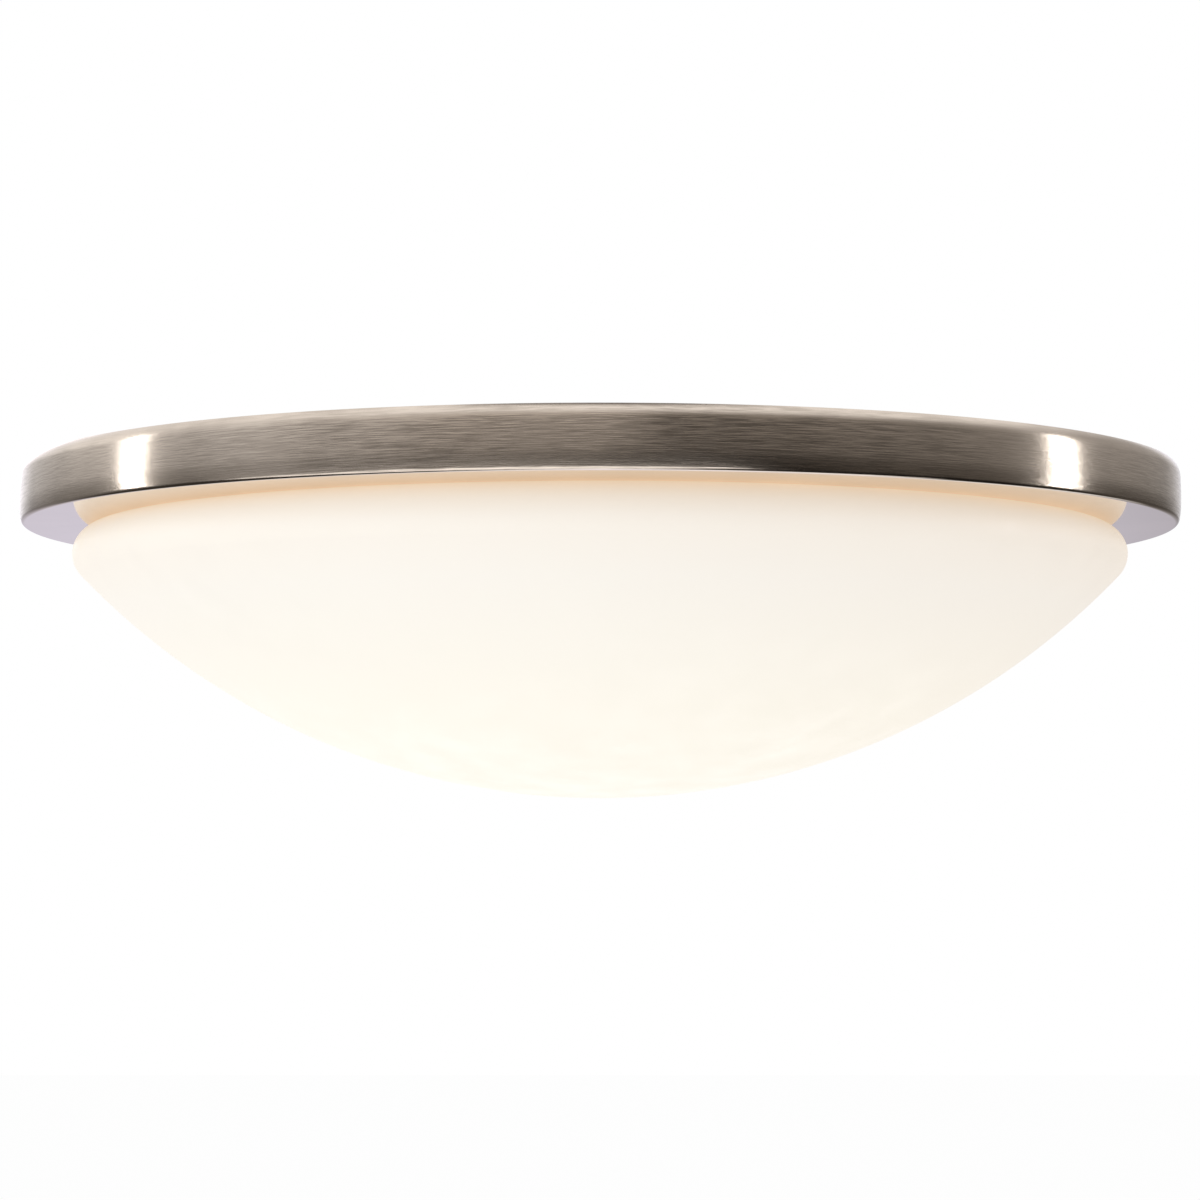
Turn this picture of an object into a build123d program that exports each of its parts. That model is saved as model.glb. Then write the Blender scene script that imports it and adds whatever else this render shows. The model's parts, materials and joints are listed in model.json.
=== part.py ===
"""Flush mount ceiling light: nickel trim ring, opal glass bowl and three screw-in lamps.

Millimetres. The origin is the centre of the ceiling plane, +Z points up into the ceiling
and the light hangs below it, so every piece lies at z = 0 or lower.
"""

from build123d import *
from math import asin, atan2, cos, degrees, radians, sin, sqrt, tan
import os

os.makedirs("parts", exist_ok=True)

# ----------------------------------------------------------------------------
# Driving dimensions
# ----------------------------------------------------------------------------

# General clearances
seat_gap = 0.25  # between a bowl, a wire or a cap and what it seats in
running_gap = 0.05  # round a pin or a shank in its hole
wide_gap = 0.6  # round a piece that only passes through a hole

# Trim ring: spun nickel-plated steel
ring_diameter = 381.0  # over the band, 15 inches
ring_height = 18.8
ring_wall = 1.0
ring_shoulder_radius = 5.6  # the arc that rolls the band in to the ceiling
ring_shoulder_drop = 3.96  # how far below the ceiling that arc ends
ring_taper = 0.3  # the band is this much smaller in radius at its foot
ring_foot_radius = 1.45
ring_flange_width = 12.0  # the flat flange against the ceiling
ring_opening_margin = 4.0  # its opening is this much smaller in radius than the bowl's mouth
ring_hem_height = 3.0

# Back pan: pressed steel, white enamel
pan_wall = 1.0
pan_bend_radius = 1.2
pan_rim_width = 10.0  # the rim that lies under the ring's flange
pan_rim_gap = 2.4  # from the ring's wall to the edge of the pan
pan_ceiling_gap = 5.0  # room for the insulation above the flat of the pan
pan_step_run = 2.5  # how far each pressed step slopes inwards
well_radius = 67.0  # at the top of the well
well_floor_radius = 61.0
well_depth = 17.4  # from the ceiling to the inside of the well's floor

# Insulation above the pan
pad_gap = 0.15
pad_inner_margin = 5.0
pad_outer_margin = 3.0

# Mounting bracket, studs and nuts
bracket_wall = 1.6
bracket_arm_width = 18.0
bracket_hub_radius = 20.0
bracket_wire_hole_radius = 11.0
box_screw_spacing = 79.4  # between the ears of a ceiling box, 3-1/8 inches
box_slot_length = 16.0
box_slot_radius = 2.4
bracket_arm_margin = 8.0  # metal past the last hole of an arm
stud_spacing = 88.0
stud_radius = 2.0
stud_length = 25.0
keyhole_radius = 4.8
keyhole_travel = 8.0
keyhole_slot_radius = 2.3
washer_radius = 6.5
washer_wall = 1.0
cap_nut_flats = 8.0
cap_nut_height = 4.0
cap_nut_dome_radius = 3.6
ground_screw_offset = 27.0
ground_screw_radius = 1.9
ground_screw_head_radius = 4.0
ground_screw_head_height = 1.8

# Rim rivets
rivet_count = 6
rivet_radius = 1.6
rivet_head_radius = 2.9
rivet_tail_radius = 2.7
rivet_tail_height = 1.1

# Lamps: frosted globe lamps with a 26 mm screw cap
lamp_angles = [90.0, 210.0, 330.0]
lamp_pan_gap = 4.0  # from a globe to the flat of the pan
lamp_tip_radius = 25.0  # where the tip contact sits, from the middle of the light
globe_radius = 30.0
cap_root_radius = 12.5
cap_crest_height = 0.5
thread_pitch = 3.6
thread_turns = 5
thread_share = 0.2  # of the pitch, for each of the root, rise, crest, fall and root again
cap_tip_length = 5.0  # from the tip contact to the first thread
cap_collar_length = 4.0
insulator_radius = 9.5
insulator_face_margin = 1.0  # black glass round the tip contact
tip_contact_radius = 4.2
tip_contact_length = 1.4
housing_neck_radius = 13.2
housing_neck_length = 7.0
housing_neck_slope = 0.25
housing_mouth_slope = 0.45
housing_length = 40.0
globe_wall = 1.4
globe_lip_length = 11.0  # from the housing to the widest part of the globe
globe_lip_angle = 4.0  # where the lip's cone meets the sphere, before its widest part

# Lampholders: glazed porcelain with a brass screw shell
holder_radius = 18.0
holder_back_radius = 14.0  # where the back stands, from the middle of the light
holder_mouth_margin = 4.0  # the porcelain past the lamp's cap
holder_back_wall = 8.0
holder_bore_radius = 14.2
holder_waist_depth = 1.2  # the body behind the mouth's bead is this much slimmer
holder_bead_length = 9.6
holder_chamfer = 2.4  # at the back and behind the bead
holder_foot_width = 24.0
holder_foot_margin = 2.0  # from the holder's mouth back to the end of its foot
shell_wall = 0.4
holder_screw_inset = 6.0  # from each end of the foot to its screw
holder_screw_radius = 1.5
holder_screw_depth = 7.0
screw_head_radius = 2.9
screw_head_height = 1.9
wire_hole_depth = 4.5
bushing_radius = 6.0
bushing_wall = 1.2
bushing_flange_width = 1.5
bushing_flange_height = 1.2
bushing_depth = 3.0  # below the inside of the well's floor
contact_width = 6.0
contact_wall = 0.4

# Wiring
lead_radius = 1.1
lead_pitch = 2.4  # between leads side by side in one terminal
lead_spread = 3.0  # of a lampholder's two leads from the middle of its bushing
line_lead_depth = 12.0  # of the black leads below the ceiling
neutral_lead_depth = 9.2
lead_reach = 6.0  # into the terminal block
lead_turn_in = 7.0  # from the block to where a lead turns in to its terminal
back_lead_turn_y = 5.0  # where the leads of the back lamp turn
cross_lead_turn_y = -4.0  # where the leads that cross the middle turn
earth_lead_start = 2.0  # on the tag, from its end
earth_lead_lift = 1.0  # from the tag's end to where the lead bends up

# Terminal block
block_length = 36.0
block_width = 18.0
block_height = 12.0
block_corner_radius = 1.5
block_centre_y = -44.0
pole_pitch = 11.0
clamp_height = 6.8
clamp_length = 12.0
clamp_bore_width = 7.4
clamp_bore_height = 5.3
clamp_wall = 0.7
clamp_depth = 10.6  # of the clamps' centre below the ceiling
earth_bore_width = 2.8
clamp_screw_radius = 1.4
clamp_screw_well_radius = 1.75
clamp_screw_inset = 3.0
block_screw_offset = 4.35
block_screw_radius = 1.2
block_screw_head_radius = 2.2
block_screw_head_height = 1.8
block_screw_recess = 2.2
block_screw_reach = 3.0  # below the inside of the well's floor
earth_screw_y = -20.0
earth_tag_wall = 0.8
earth_tag_radius = 3.6
earth_tag_length = 6.0

# Opal glass bowl
bowl_ring_margin = 17.2  # from the ring's edge in to the widest part of the bowl
bowl_lip_width = 17.3  # from the widest part of the bowl in to its mouth
bowl_shoulder_radius = 9.1
bowl_wall = 3.5
bowl_lamp_gap = 4.8  # from the globes to the inside of the dome

# Sprung retaining pawls
pawl_angles = [30.0, 150.0, 270.0]
pawl_pivot_inset = 7.2  # from the bowl's mouth in to a pawl's pin
pawl_pivot_depth = 21.5
pawl_width = 7.0
pawl_hub_radius = 2.5
pawl_nose_overlap = 3.3  # how far a nose reaches under the bowl's lip
pawl_nose_depth = 25.2
pawl_tail_inset = 1.0  # from the bowl's mouth in to the end of a pawl's tail
pawl_tail_depth = 34.5
pawl_thickness = 2.6
pin_radius = 1.25
pin_head_radius = 2.1
pin_head_length = 0.8
pawl_bracket_wall = 1.2
pawl_bracket_gap = 12.0  # between its ears
pawl_bracket_base_length = 22.0
pawl_bracket_rivet_inset = 5.5
pawl_ear_radius = 3.4
spring_wire_radius = 0.35
spring_coil_radius = 2.0
spring_turns = 3
spring_pitch = 0.95
spring_leg_length = 6.0

# ----------------------------------------------------------------------------
# Places worked out from the dimensions
# ----------------------------------------------------------------------------

ring_radius = ring_diameter / 2
ring_foot_outer = ring_radius - ring_taper
bowl_widest_radius = ring_radius - bowl_ring_margin
bowl_mouth_radius = bowl_widest_radius - bowl_lip_width
ring_opening_radius = bowl_mouth_radius - ring_opening_margin
pan_edge_radius = ring_radius - ring_wall - pan_rim_gap
rivet_circle_radius = pan_edge_radius - pan_rim_width / 2
pan_rim_top = -ring_wall
pan_flat_top = -pan_ceiling_gap
pan_flat_bottom = pan_flat_top - pan_wall
well_floor_top = -well_depth
well_floor_bottom = well_floor_top - pan_wall
lamp_axis_z = pan_flat_bottom - lamp_pan_gap - globe_radius
pawl_pivot_radius = bowl_mouth_radius - pawl_pivot_inset
pawl_pivot_z = -pawl_pivot_depth

# along a lamp, from the middle of the light outwards
insulator_start = lamp_tip_radius + tip_contact_length
thread_start = lamp_tip_radius + cap_tip_length
thread_end = thread_start + thread_turns * thread_pitch
collar_end = thread_end + cap_collar_length
housing_end = collar_end + housing_length
globe_centre = housing_end + globe_lip_length
globe_end = globe_centre + globe_radius
holder_bore_start = holder_back_radius + holder_back_wall
holder_mouth = collar_end + holder_mouth_margin
holder_foot_length = holder_mouth - holder_foot_margin - holder_back_radius
holder_mid_radius = holder_back_radius + holder_foot_length / 2


def write(piece: Part, name: str) -> None:
    """Label a finished piece and write it to its own file."""
    piece.label = name
    export_step(piece, f"parts/{name}.step")


def radial_plane(angle: float, z: float = 0.0, side: float = 0.0) -> Plane:
    """Upright plane through the middle of the light: x outwards at the angle, y up."""
    c, s = cos(radians(angle)), sin(radians(angle))
    return Plane(origin=(-side * s, side * c, z), x_dir=(c, s, 0), z_dir=(s, -c, 0))


def at_angle(radius: float, angle: float, side: float = 0.0) -> tuple[float, float]:
    """Plan position at a radius and an angle, moved sideways (anticlockwise is positive)."""
    c, s = cos(radians(angle)), sin(radians(angle))
    return radius * c - side * s, radius * s + side * c


def on_circle(x: float, y: float, radius: float, angle: float) -> tuple[float, float]:
    """Point of a circle about (x, y), the angle in degrees."""
    return x + radius * cos(radians(angle)), y + radius * sin(radians(angle))


def arc_between(centre: tuple, radius: float, start: float, end: float) -> None:
    """Arc of a circle through its start, middle and end angles."""
    ThreePointArc(*(on_circle(*centre, radius, a) for a in (start, (start + end) / 2, end)))


def pressed_outline(points: list, wall: float, bend: float) -> None:
    """Closed outline of bent sheet: the points are one face, the wall lies on its left.

    Every bend has the same inside radius.
    """
    count = len(points)
    ways = [Vector(*b) - Vector(*a) for a, b in zip(points, points[1:])]
    ways = [way.normalized() for way in ways]
    lefts = [Vector(-way.Y, way.X) for way in ways]
    far, near_radii, far_radii = [], [], []
    for i in range(count):
        if i in (0, count - 1):
            shift = lefts[min(i, count - 2)] * wall
        else:
            both = lefts[i - 1] + lefts[i]
            shift = both * (2 * wall / both.length**2)
            turns_left = ways[i - 1].X * ways[i].Y > ways[i - 1].Y * ways[i].X
            near_radii.append(bend + wall if turns_left else bend)
            far_radii.append(bend if turns_left else bend + wall)
        far.append(Vector(*points[i]) + shift)
    FilletPolyline(*points, radius=near_radii)
    FilletPolyline(*far, radius=far_radii)
    Line(points[0], far[0])
    Line(points[-1], far[-1])


# ----------------------------------------------------------------------------
# Trim ring
# ----------------------------------------------------------------------------


def build_trim_ring() -> Part:
    """Band, rolled top, ceiling flange, flat underside and hemmed opening, one spun shell."""
    shoulder_x = ring_radius - ring_shoulder_radius
    outer_end = degrees(asin(ring_shoulder_drop / ring_shoulder_radius))
    inner_radius = ring_shoulder_radius - ring_wall
    inner_end = degrees(asin((ring_shoulder_drop - ring_wall) / inner_radius))
    foot_x = ring_foot_outer - ring_foot_radius
    foot_z = -ring_height + ring_foot_radius
    inner_foot_radius = ring_foot_radius - ring_wall
    shoulder_centre = (shoulder_x, -ring_shoulder_drop)
    flange_x = on_circle(*shoulder_centre, ring_shoulder_radius, outer_end)[0] - ring_flange_width
    hem_x = ring_opening_radius + ring_wall
    with BuildPart() as ring:
        with BuildSketch(Plane.XZ):
            with BuildLine():
                Line((flange_x, 0), on_circle(*shoulder_centre, ring_shoulder_radius, outer_end))
                arc_between(shoulder_centre, ring_shoulder_radius, outer_end, 0)
                Line((ring_radius, -ring_shoulder_drop), (ring_foot_outer, foot_z))
                arc_between((foot_x, foot_z), ring_foot_radius, 0, -90)
                Polyline(
                    (foot_x, -ring_height),
                    (ring_opening_radius, -ring_height),
                    (ring_opening_radius, -ring_height + ring_hem_height),
                    (hem_x, -ring_height + ring_hem_height),
                    (hem_x, -ring_height + ring_wall),
                    (foot_x, -ring_height + ring_wall),
                )
                arc_between((foot_x, foot_z), inner_foot_radius, -90, 0)
                Line(
                    (ring_foot_outer - ring_wall, foot_z),
                    (ring_radius - ring_wall, -ring_shoulder_drop),
                )
                arc_between(shoulder_centre, inner_radius, 0, inner_end)
                Polyline(
                    on_circle(*shoulder_centre, inner_radius, inner_end),
                    (flange_x, -ring_wall),
                    (flange_x, 0),
                )
            make_face()
        revolve(axis=Axis.Z)
        with BuildSketch(Plane.XY):
            with PolarLocations(rivet_circle_radius, rivet_count):
                Circle(rivet_radius + running_gap)
        extrude(amount=-ring_wall, mode=Mode.SUBTRACT)
        with PolarLocations(rivet_circle_radius, rivet_count):
            Cone(
                bottom_radius=rivet_radius + running_gap,
                top_radius=rivet_head_radius + running_gap,
                height=ring_wall,
                align=(Align.CENTER, Align.CENTER, Align.MAX),
                mode=Mode.SUBTRACT,
            )
    return ring.part


write(build_trim_ring(), "trim_ring")

# ----------------------------------------------------------------------------
# Back pan, its insulation and the rivets that hold it in the ring
# ----------------------------------------------------------------------------

rim_inner_radius = pan_edge_radius - pan_rim_width
flat_outer_radius = rim_inner_radius - pan_step_run
stud_places = [(stud_spacing / 2, 0), (-stud_spacing / 2, 0)]
holder_screw_radii = [
    holder_back_radius + holder_screw_inset,
    holder_back_radius + holder_foot_length - holder_screw_inset,
]
pawl_base_outer = pawl_pivot_radius + pawl_hub_radius
pawl_base_inner = pawl_base_outer - pawl_bracket_base_length
pawl_rivet_radii = [
    pawl_base_inner + pawl_bracket_rivet_inset,
    pawl_base_outer - pawl_bracket_rivet_inset,
]

with BuildPart() as back_pan:
    with BuildSketch(Plane.XZ):
        with BuildLine():
            # the underside, from the middle outwards; the wall lies above it
            pressed_outline(
                [
                    (0, well_floor_bottom),
                    (well_floor_radius, well_floor_bottom),
                    (well_radius, pan_flat_bottom),
                    (flat_outer_radius, pan_flat_bottom),
                    (rim_inner_radius, pan_rim_top - pan_wall),
                    (pan_edge_radius, pan_rim_top - pan_wall),
                ],
                pan_wall,
                pan_bend_radius,
            )
        make_face()
    revolve(axis=Axis.Z)
    # rim rivets
    with BuildSketch(Plane.XY.offset(pan_rim_top)):
        with PolarLocations(rivet_circle_radius, rivet_count):
            Circle(rivet_radius + running_gap)
    extrude(amount=-pan_wall, mode=Mode.SUBTRACT)
    # keyholes, lampholder screws, lead bushings, earth and block screws in the well's floor
    with BuildSketch(Plane.XY.offset(well_floor_top)):
        for x, y in stud_places:
            turn = keyhole_travel if x > 0 else -keyhole_travel
            with Locations((x, y)):
                Circle(keyhole_slot_radius)
            with Locations((x, y + turn)):
                Circle(keyhole_radius)
            with Locations((x, y + turn / 2)):
                Rectangle(2 * keyhole_slot_radius, keyhole_travel)
        for angle in lamp_angles:
            with Locations(*(at_angle(radius, angle) for radius in holder_screw_radii)):
                Circle(holder_screw_radius + running_gap)
            with Locations(at_angle(holder_mid_radius, angle)):
                Circle(bushing_radius + running_gap)
        with Locations((0, earth_screw_y)):
            Circle(holder_screw_radius + running_gap)
        with Locations((block_screw_offset, block_centre_y), (-block_screw_offset, block_centre_y)):
            Circle(block_screw_radius + running_gap)
    extrude(amount=-pan_wall, mode=Mode.SUBTRACT)
    # rivets of the pawl brackets
    with BuildSketch(Plane.XY.offset(pan_flat_top)):
        for angle in pawl_angles:
            with Locations(*(at_angle(radius, angle) for radius in pawl_rivet_radii)):
                Circle(rivet_radius + running_gap)
    extrude(amount=-pan_wall, mode=Mode.SUBTRACT)
write(back_pan.part, "back_pan")

with BuildPart() as insulation_pad:
    with BuildSketch(Plane.XY.offset(pan_flat_top + pad_gap)):
        Circle(flat_outer_radius - pad_outer_margin)
        Circle(well_radius + pad_inner_margin, mode=Mode.SUBTRACT)
        for angle in pawl_angles:
            with Locations(*(at_angle(radius, angle) for radius in pawl_rivet_radii)):
                Circle(rivet_tail_radius + wide_gap, mode=Mode.SUBTRACT)
    extrude(amount=pan_ceiling_gap - ring_wall - 2 * pad_gap)
write(insulation_pad.part, "insulation_pad")

with BuildPart() as rim_rivets:
    with BuildSketch(Plane.XY.offset(-ring_wall)):
        with PolarLocations(rivet_circle_radius, rivet_count):
            Circle(rivet_radius)
    extrude(amount=-pan_wall)
    with PolarLocations(rivet_circle_radius, rivet_count):
        Cone(
            bottom_radius=rivet_radius,
            top_radius=rivet_head_radius,
            height=ring_wall,
            align=(Align.CENTER, Align.CENTER, Align.MAX),
        )
    with BuildSketch(Plane.XY.offset(pan_rim_top - pan_wall)):
        with PolarLocations(rivet_circle_radius, rivet_count):
            Circle(rivet_tail_radius)
    extrude(amount=-rivet_tail_height)
write(rim_rivets.part, "rim_rivets")

# ----------------------------------------------------------------------------
# Mounting bracket, studs, washers, cap nuts and ground screw
# ----------------------------------------------------------------------------

stud_arm_length = stud_spacing + 2 * bracket_arm_margin
box_arm_length = box_screw_spacing + box_slot_length + bracket_arm_margin

with BuildPart() as mounting_bracket:
    with BuildSketch(Plane.XY):
        Rectangle(stud_arm_length, bracket_arm_width)
        Rectangle(bracket_arm_width, box_arm_length)
        Circle(bracket_hub_radius)
        Circle(bracket_wire_hole_radius, mode=Mode.SUBTRACT)
        with Locations(*stud_places):
            Circle(stud_radius + running_gap, mode=Mode.SUBTRACT)
        with Locations((0, box_screw_spacing / 2), (0, -box_screw_spacing / 2)):
            SlotOverall(box_slot_length, 2 * box_slot_radius, rotation=90, mode=Mode.SUBTRACT)
        with Locations((ground_screw_offset, 0)):
            Circle(ground_screw_radius + running_gap, mode=Mode.SUBTRACT)
    extrude(amount=-bracket_wall)
write(mounting_bracket.part, "mounting_bracket")

with BuildPart() as mounting_studs:
    with BuildSketch(Plane.XY):
        with Locations(*stud_places):
            Circle(stud_radius)
    extrude(amount=-stud_length)
    chamfer(mounting_studs.faces().sort_by(Axis.Z)[:2].edges(), stud_radius / 4)
write(mounting_studs.part, "mounting_studs")

with BuildPart() as stud_washers:
    with BuildSketch(Plane.XY.offset(well_floor_bottom)):
        with Locations(*stud_places):
            Circle(washer_radius)
            Circle(stud_radius + running_gap, mode=Mode.SUBTRACT)
    extrude(amount=-washer_wall)
write(stud_washers.part, "stud_washers")

nut_top = well_floor_bottom - washer_wall
with BuildPart() as cap_nuts:
    with BuildSketch(Plane.XY.offset(nut_top)):
        with Locations(*stud_places):
            RegularPolygon(cap_nut_flats / sqrt(3), 6)
    extrude(amount=-cap_nut_height)
    with Locations(*((x, y, nut_top - cap_nut_height) for x, y in stud_places)):
        Sphere(cap_nut_dome_radius)
    with BuildSketch(Plane.XY.offset(nut_top)):
        with Locations(*stud_places):
            Circle(cap_nut_flats)
    extrude(amount=cap_nut_height, mode=Mode.SUBTRACT)
    with BuildSketch(Plane.XY.offset(-stud_length - seat_gap)):
        with Locations(*stud_places):
            Circle(stud_radius + running_gap)
    extrude(amount=stud_length, mode=Mode.SUBTRACT)
write(cap_nuts.part, "cap_nuts")

with BuildPart() as ground_screw:
    with BuildSketch(Plane.XY):
        with Locations((ground_screw_offset, 0)):
            Circle(ground_screw_radius)
    extrude(amount=-bracket_wall)
    with BuildSketch(Plane.XY.offset(-bracket_wall)):
        with Locations((ground_screw_offset, 0)):
            RegularPolygon(ground_screw_head_radius, 6)
    extrude(amount=-ground_screw_head_height)
    with BuildSketch(Plane.XY.offset(-bracket_wall - ground_screw_head_height)):
        with Locations((ground_screw_offset, 0)):
            Rectangle(2 * ground_screw_radius, ground_screw_radius / 2)
    extrude(amount=ground_screw_head_height / 2, mode=Mode.SUBTRACT)
write(ground_screw.part, "ground_screw")

# ----------------------------------------------------------------------------
# Lampholders
# ----------------------------------------------------------------------------


def thread_outline(start: float, turns: int, root: float, crest: float) -> list:
    """Points along a screw thread's wave, each turn a rounded-off trapezium."""
    points = [(start, root)]
    step = thread_share * thread_pitch
    for turn in range(turns):
        foot = start + turn * thread_pitch
        heights = (root, crest, crest, root)
        points += [(foot + i * step, height) for i, height in enumerate(heights, start=1)]
    points.append((start + turns * thread_pitch, root))
    return points


def lamp_axis(angle: float) -> Axis:
    """The line that a lamp, its holder and its screw shell are turned about."""
    return Axis((0, 0, lamp_axis_z), (cos(radians(angle)), sin(radians(angle)), 0))


def lamp_profile(angle: float, outline: list) -> Sketch:
    """Closed outline of (radius from the middle, radius from the lamp's axis), to be turned."""
    with BuildSketch(radial_plane(angle, lamp_axis_z)) as profile:
        with BuildLine():
            Polyline(*outline, close=True)
        make_face()
    return profile.sketch


def build_lampholder(angle: float) -> Part:
    """Porcelain body: a cup for the lamp with a flat foot up to the floor of the well."""
    back, mouth = holder_back_radius, holder_mouth
    waist = holder_radius - holder_waist_depth
    foot_height = well_floor_bottom - lamp_axis_z
    body = [
        (back, 0),
        (back, waist - holder_chamfer),
        (back + holder_chamfer, waist),
        (mouth - holder_bead_length - holder_chamfer, waist),
        (mouth - holder_bead_length, holder_radius),
        (mouth - holder_waist_depth, holder_radius),
        (mouth, holder_radius - holder_waist_depth),
        (mouth, 0),
    ]
    bore = [
        (holder_bore_start, 0),
        (holder_bore_start, holder_bore_radius),
        (mouth, holder_bore_radius),
        (mouth, 0),
    ]
    with BuildPart() as holder:
        revolve(lamp_profile(angle, body), axis=lamp_axis(angle))
        with BuildSketch(radial_plane(angle, lamp_axis_z)):
            with Locations((holder_mid_radius, foot_height / 2)):
                Rectangle(holder_foot_length, foot_height)
        extrude(amount=holder_foot_width / 2, both=True)
        revolve(lamp_profile(angle, bore), axis=lamp_axis(angle), mode=Mode.SUBTRACT)
        with BuildSketch(Plane.XY.offset(well_floor_bottom)):
            with Locations(*(at_angle(radius, angle) for radius in holder_screw_radii)):
                Circle(holder_screw_radius + running_gap)
        extrude(amount=-holder_screw_depth, mode=Mode.SUBTRACT)
        with BuildSketch(Plane.XY.offset(well_floor_bottom)):
            with Locations(at_angle(holder_mid_radius, angle)):
                Circle(bushing_radius + running_gap)
        extrude(amount=-wire_hole_depth, mode=Mode.SUBTRACT)
    return holder.part


def build_socket_shell(angle: float) -> Part:
    """Brass screw shell: a thin threaded tube that seats in the porcelain bore."""
    crest = cap_root_radius + cap_crest_height + seat_gap
    wave = thread_outline(thread_start, thread_turns, cap_root_radius + seat_gap, crest)
    lip_end = collar_end - seat_gap
    lip_start = lip_end - shell_wall
    bore_edge = holder_bore_radius - running_gap
    inner = [(holder_bore_start + seat_gap, wave[0][1])] + wave
    inner += [(thread_end + cap_crest_height / 2, crest), (lip_end, crest)]
    outer = [(s, r + shell_wall) for s, r in inner[:-1]] + [(lip_start, crest + shell_wall)]
    outer += [(lip_start, bore_edge), (lip_end, bore_edge)]
    with BuildPart() as shell:
        revolve(lamp_profile(angle, outer + inner[::-1]), axis=lamp_axis(angle))
    return shell.part


def build_centre_contact(angle: float) -> Part:
    """Phosphor bronze strip: its foot on the back wall, its tongue sprung out to the tip."""
    foot = holder_bore_start
    tongue = lamp_tip_radius - seat_gap
    half = contact_width / 2
    strip = [
        (foot, -contact_width),
        (foot, contact_width),
        (foot + contact_wall, contact_width),
        (foot + contact_wall, half + 2 * contact_wall),
        (tongue, half),
        (tongue, -half),
        (tongue - contact_wall, -half),
        (tongue - contact_wall, half - contact_wall),
        (foot + contact_wall, half),
        (foot + contact_wall, -contact_width),
    ]
    with BuildPart() as contact:
        extrude(lamp_profile(angle, strip), amount=half, both=True)
    return contact.part


lamp_numbers = list(enumerate(lamp_angles, start=1))

for number, angle in lamp_numbers:
    write(build_lampholder(angle), f"lampholder_{number}")
    write(build_socket_shell(angle), f"socket_shell_{number}")

with BuildPart() as holder_screws:
    for angle in lamp_angles:
        places = [at_angle(radius, angle) for radius in holder_screw_radii]
        with BuildSketch(Plane.XY.offset(well_floor_top)):
            with Locations(*places):
                Circle(holder_screw_radius)
        extrude(amount=seat_gap - pan_wall - holder_screw_depth)
        with BuildSketch(Plane.XY.offset(well_floor_top)):
            with Locations(*places):
                Circle(screw_head_radius)
        extrude(amount=screw_head_height)
write(holder_screws.part, "holder_screws")

with BuildPart() as wire_bushings:
    places = [at_angle(holder_mid_radius, angle) for angle in lamp_angles]
    with BuildSketch(Plane.XY.offset(well_floor_top)):
        with Locations(*places):
            Circle(bushing_radius)
    extrude(amount=-bushing_depth)
    with BuildSketch(Plane.XY.offset(well_floor_top)):
        with Locations(*places):
            Circle(bushing_radius + bushing_flange_width)
    extrude(amount=bushing_flange_height)
    with BuildSketch(Plane.XY.offset(well_floor_top + bushing_flange_height)):
        with Locations(*places):
            Circle(bushing_radius - bushing_wall)
    extrude(amount=-bushing_flange_height - bushing_depth, mode=Mode.SUBTRACT)
write(wire_bushings.part, "wire_bushings")

# ----------------------------------------------------------------------------
# Lamps
# ----------------------------------------------------------------------------


def build_lamp_cap(angle: float) -> Part:
    """Threaded cap of nickel-plated brass, with the insulator's seat open at its tip."""
    outline = thread_outline(
        thread_start, thread_turns, cap_root_radius, cap_root_radius + cap_crest_height
    )
    skirt = cap_root_radius + cap_crest_height
    outline = (
        [(thread_start, insulator_radius + running_gap)]
        + outline
        + [(thread_end + cap_crest_height, skirt), (collar_end, skirt)]
        + [(collar_end, insulator_radius + running_gap)]
    )
    with BuildPart() as cap:
        revolve(lamp_profile(angle, outline), axis=lamp_axis(angle))
    return cap.part


def build_lamp_insulator(angle: float) -> Part:
    """Black glass cone at the tip, and the moulded core that fills the cap behind it."""
    outline = [
        (insulator_start, 0),
        (insulator_start, tip_contact_radius + insulator_face_margin),
        (thread_start, insulator_radius),
        (collar_end, insulator_radius),
        (collar_end, 0),
    ]
    with BuildPart() as insulator:
        revolve(lamp_profile(angle, outline), axis=lamp_axis(angle))
    return insulator.part


def build_tip_contact(angle: float) -> Part:
    """Solder button at the lamp's tip."""
    outline = [
        (lamp_tip_radius, 0),
        (lamp_tip_radius, tip_contact_radius / 2),
        (lamp_tip_radius + tip_contact_length / 2, tip_contact_radius),
        (insulator_start, tip_contact_radius),
        (insulator_start, 0),
    ]
    with BuildPart() as button:
        revolve(lamp_profile(angle, outline), axis=lamp_axis(angle))
    return button.part


def build_lamp_housing(angle: float) -> Part:
    """White moulded heat sink, from the cap out to the globe."""
    neck_end = collar_end + housing_neck_length
    neck = (neck_end, housing_neck_radius + cap_crest_height)
    mouth = (housing_end, globe_radius - globe_wall)
    with BuildPart() as housing:
        with BuildSketch(radial_plane(angle, lamp_axis_z)):
            with BuildLine():
                Polyline(
                    (housing_end, 0),
                    (collar_end, 0),
                    (collar_end, housing_neck_radius),
                    neck,
                )
                Spline(neck, mouth, tangents=((1, housing_neck_slope), (1, housing_mouth_slope)))
                Line(mouth, (housing_end, 0))
            make_face()
        revolve(axis=lamp_axis(angle))
    return housing.part


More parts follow.
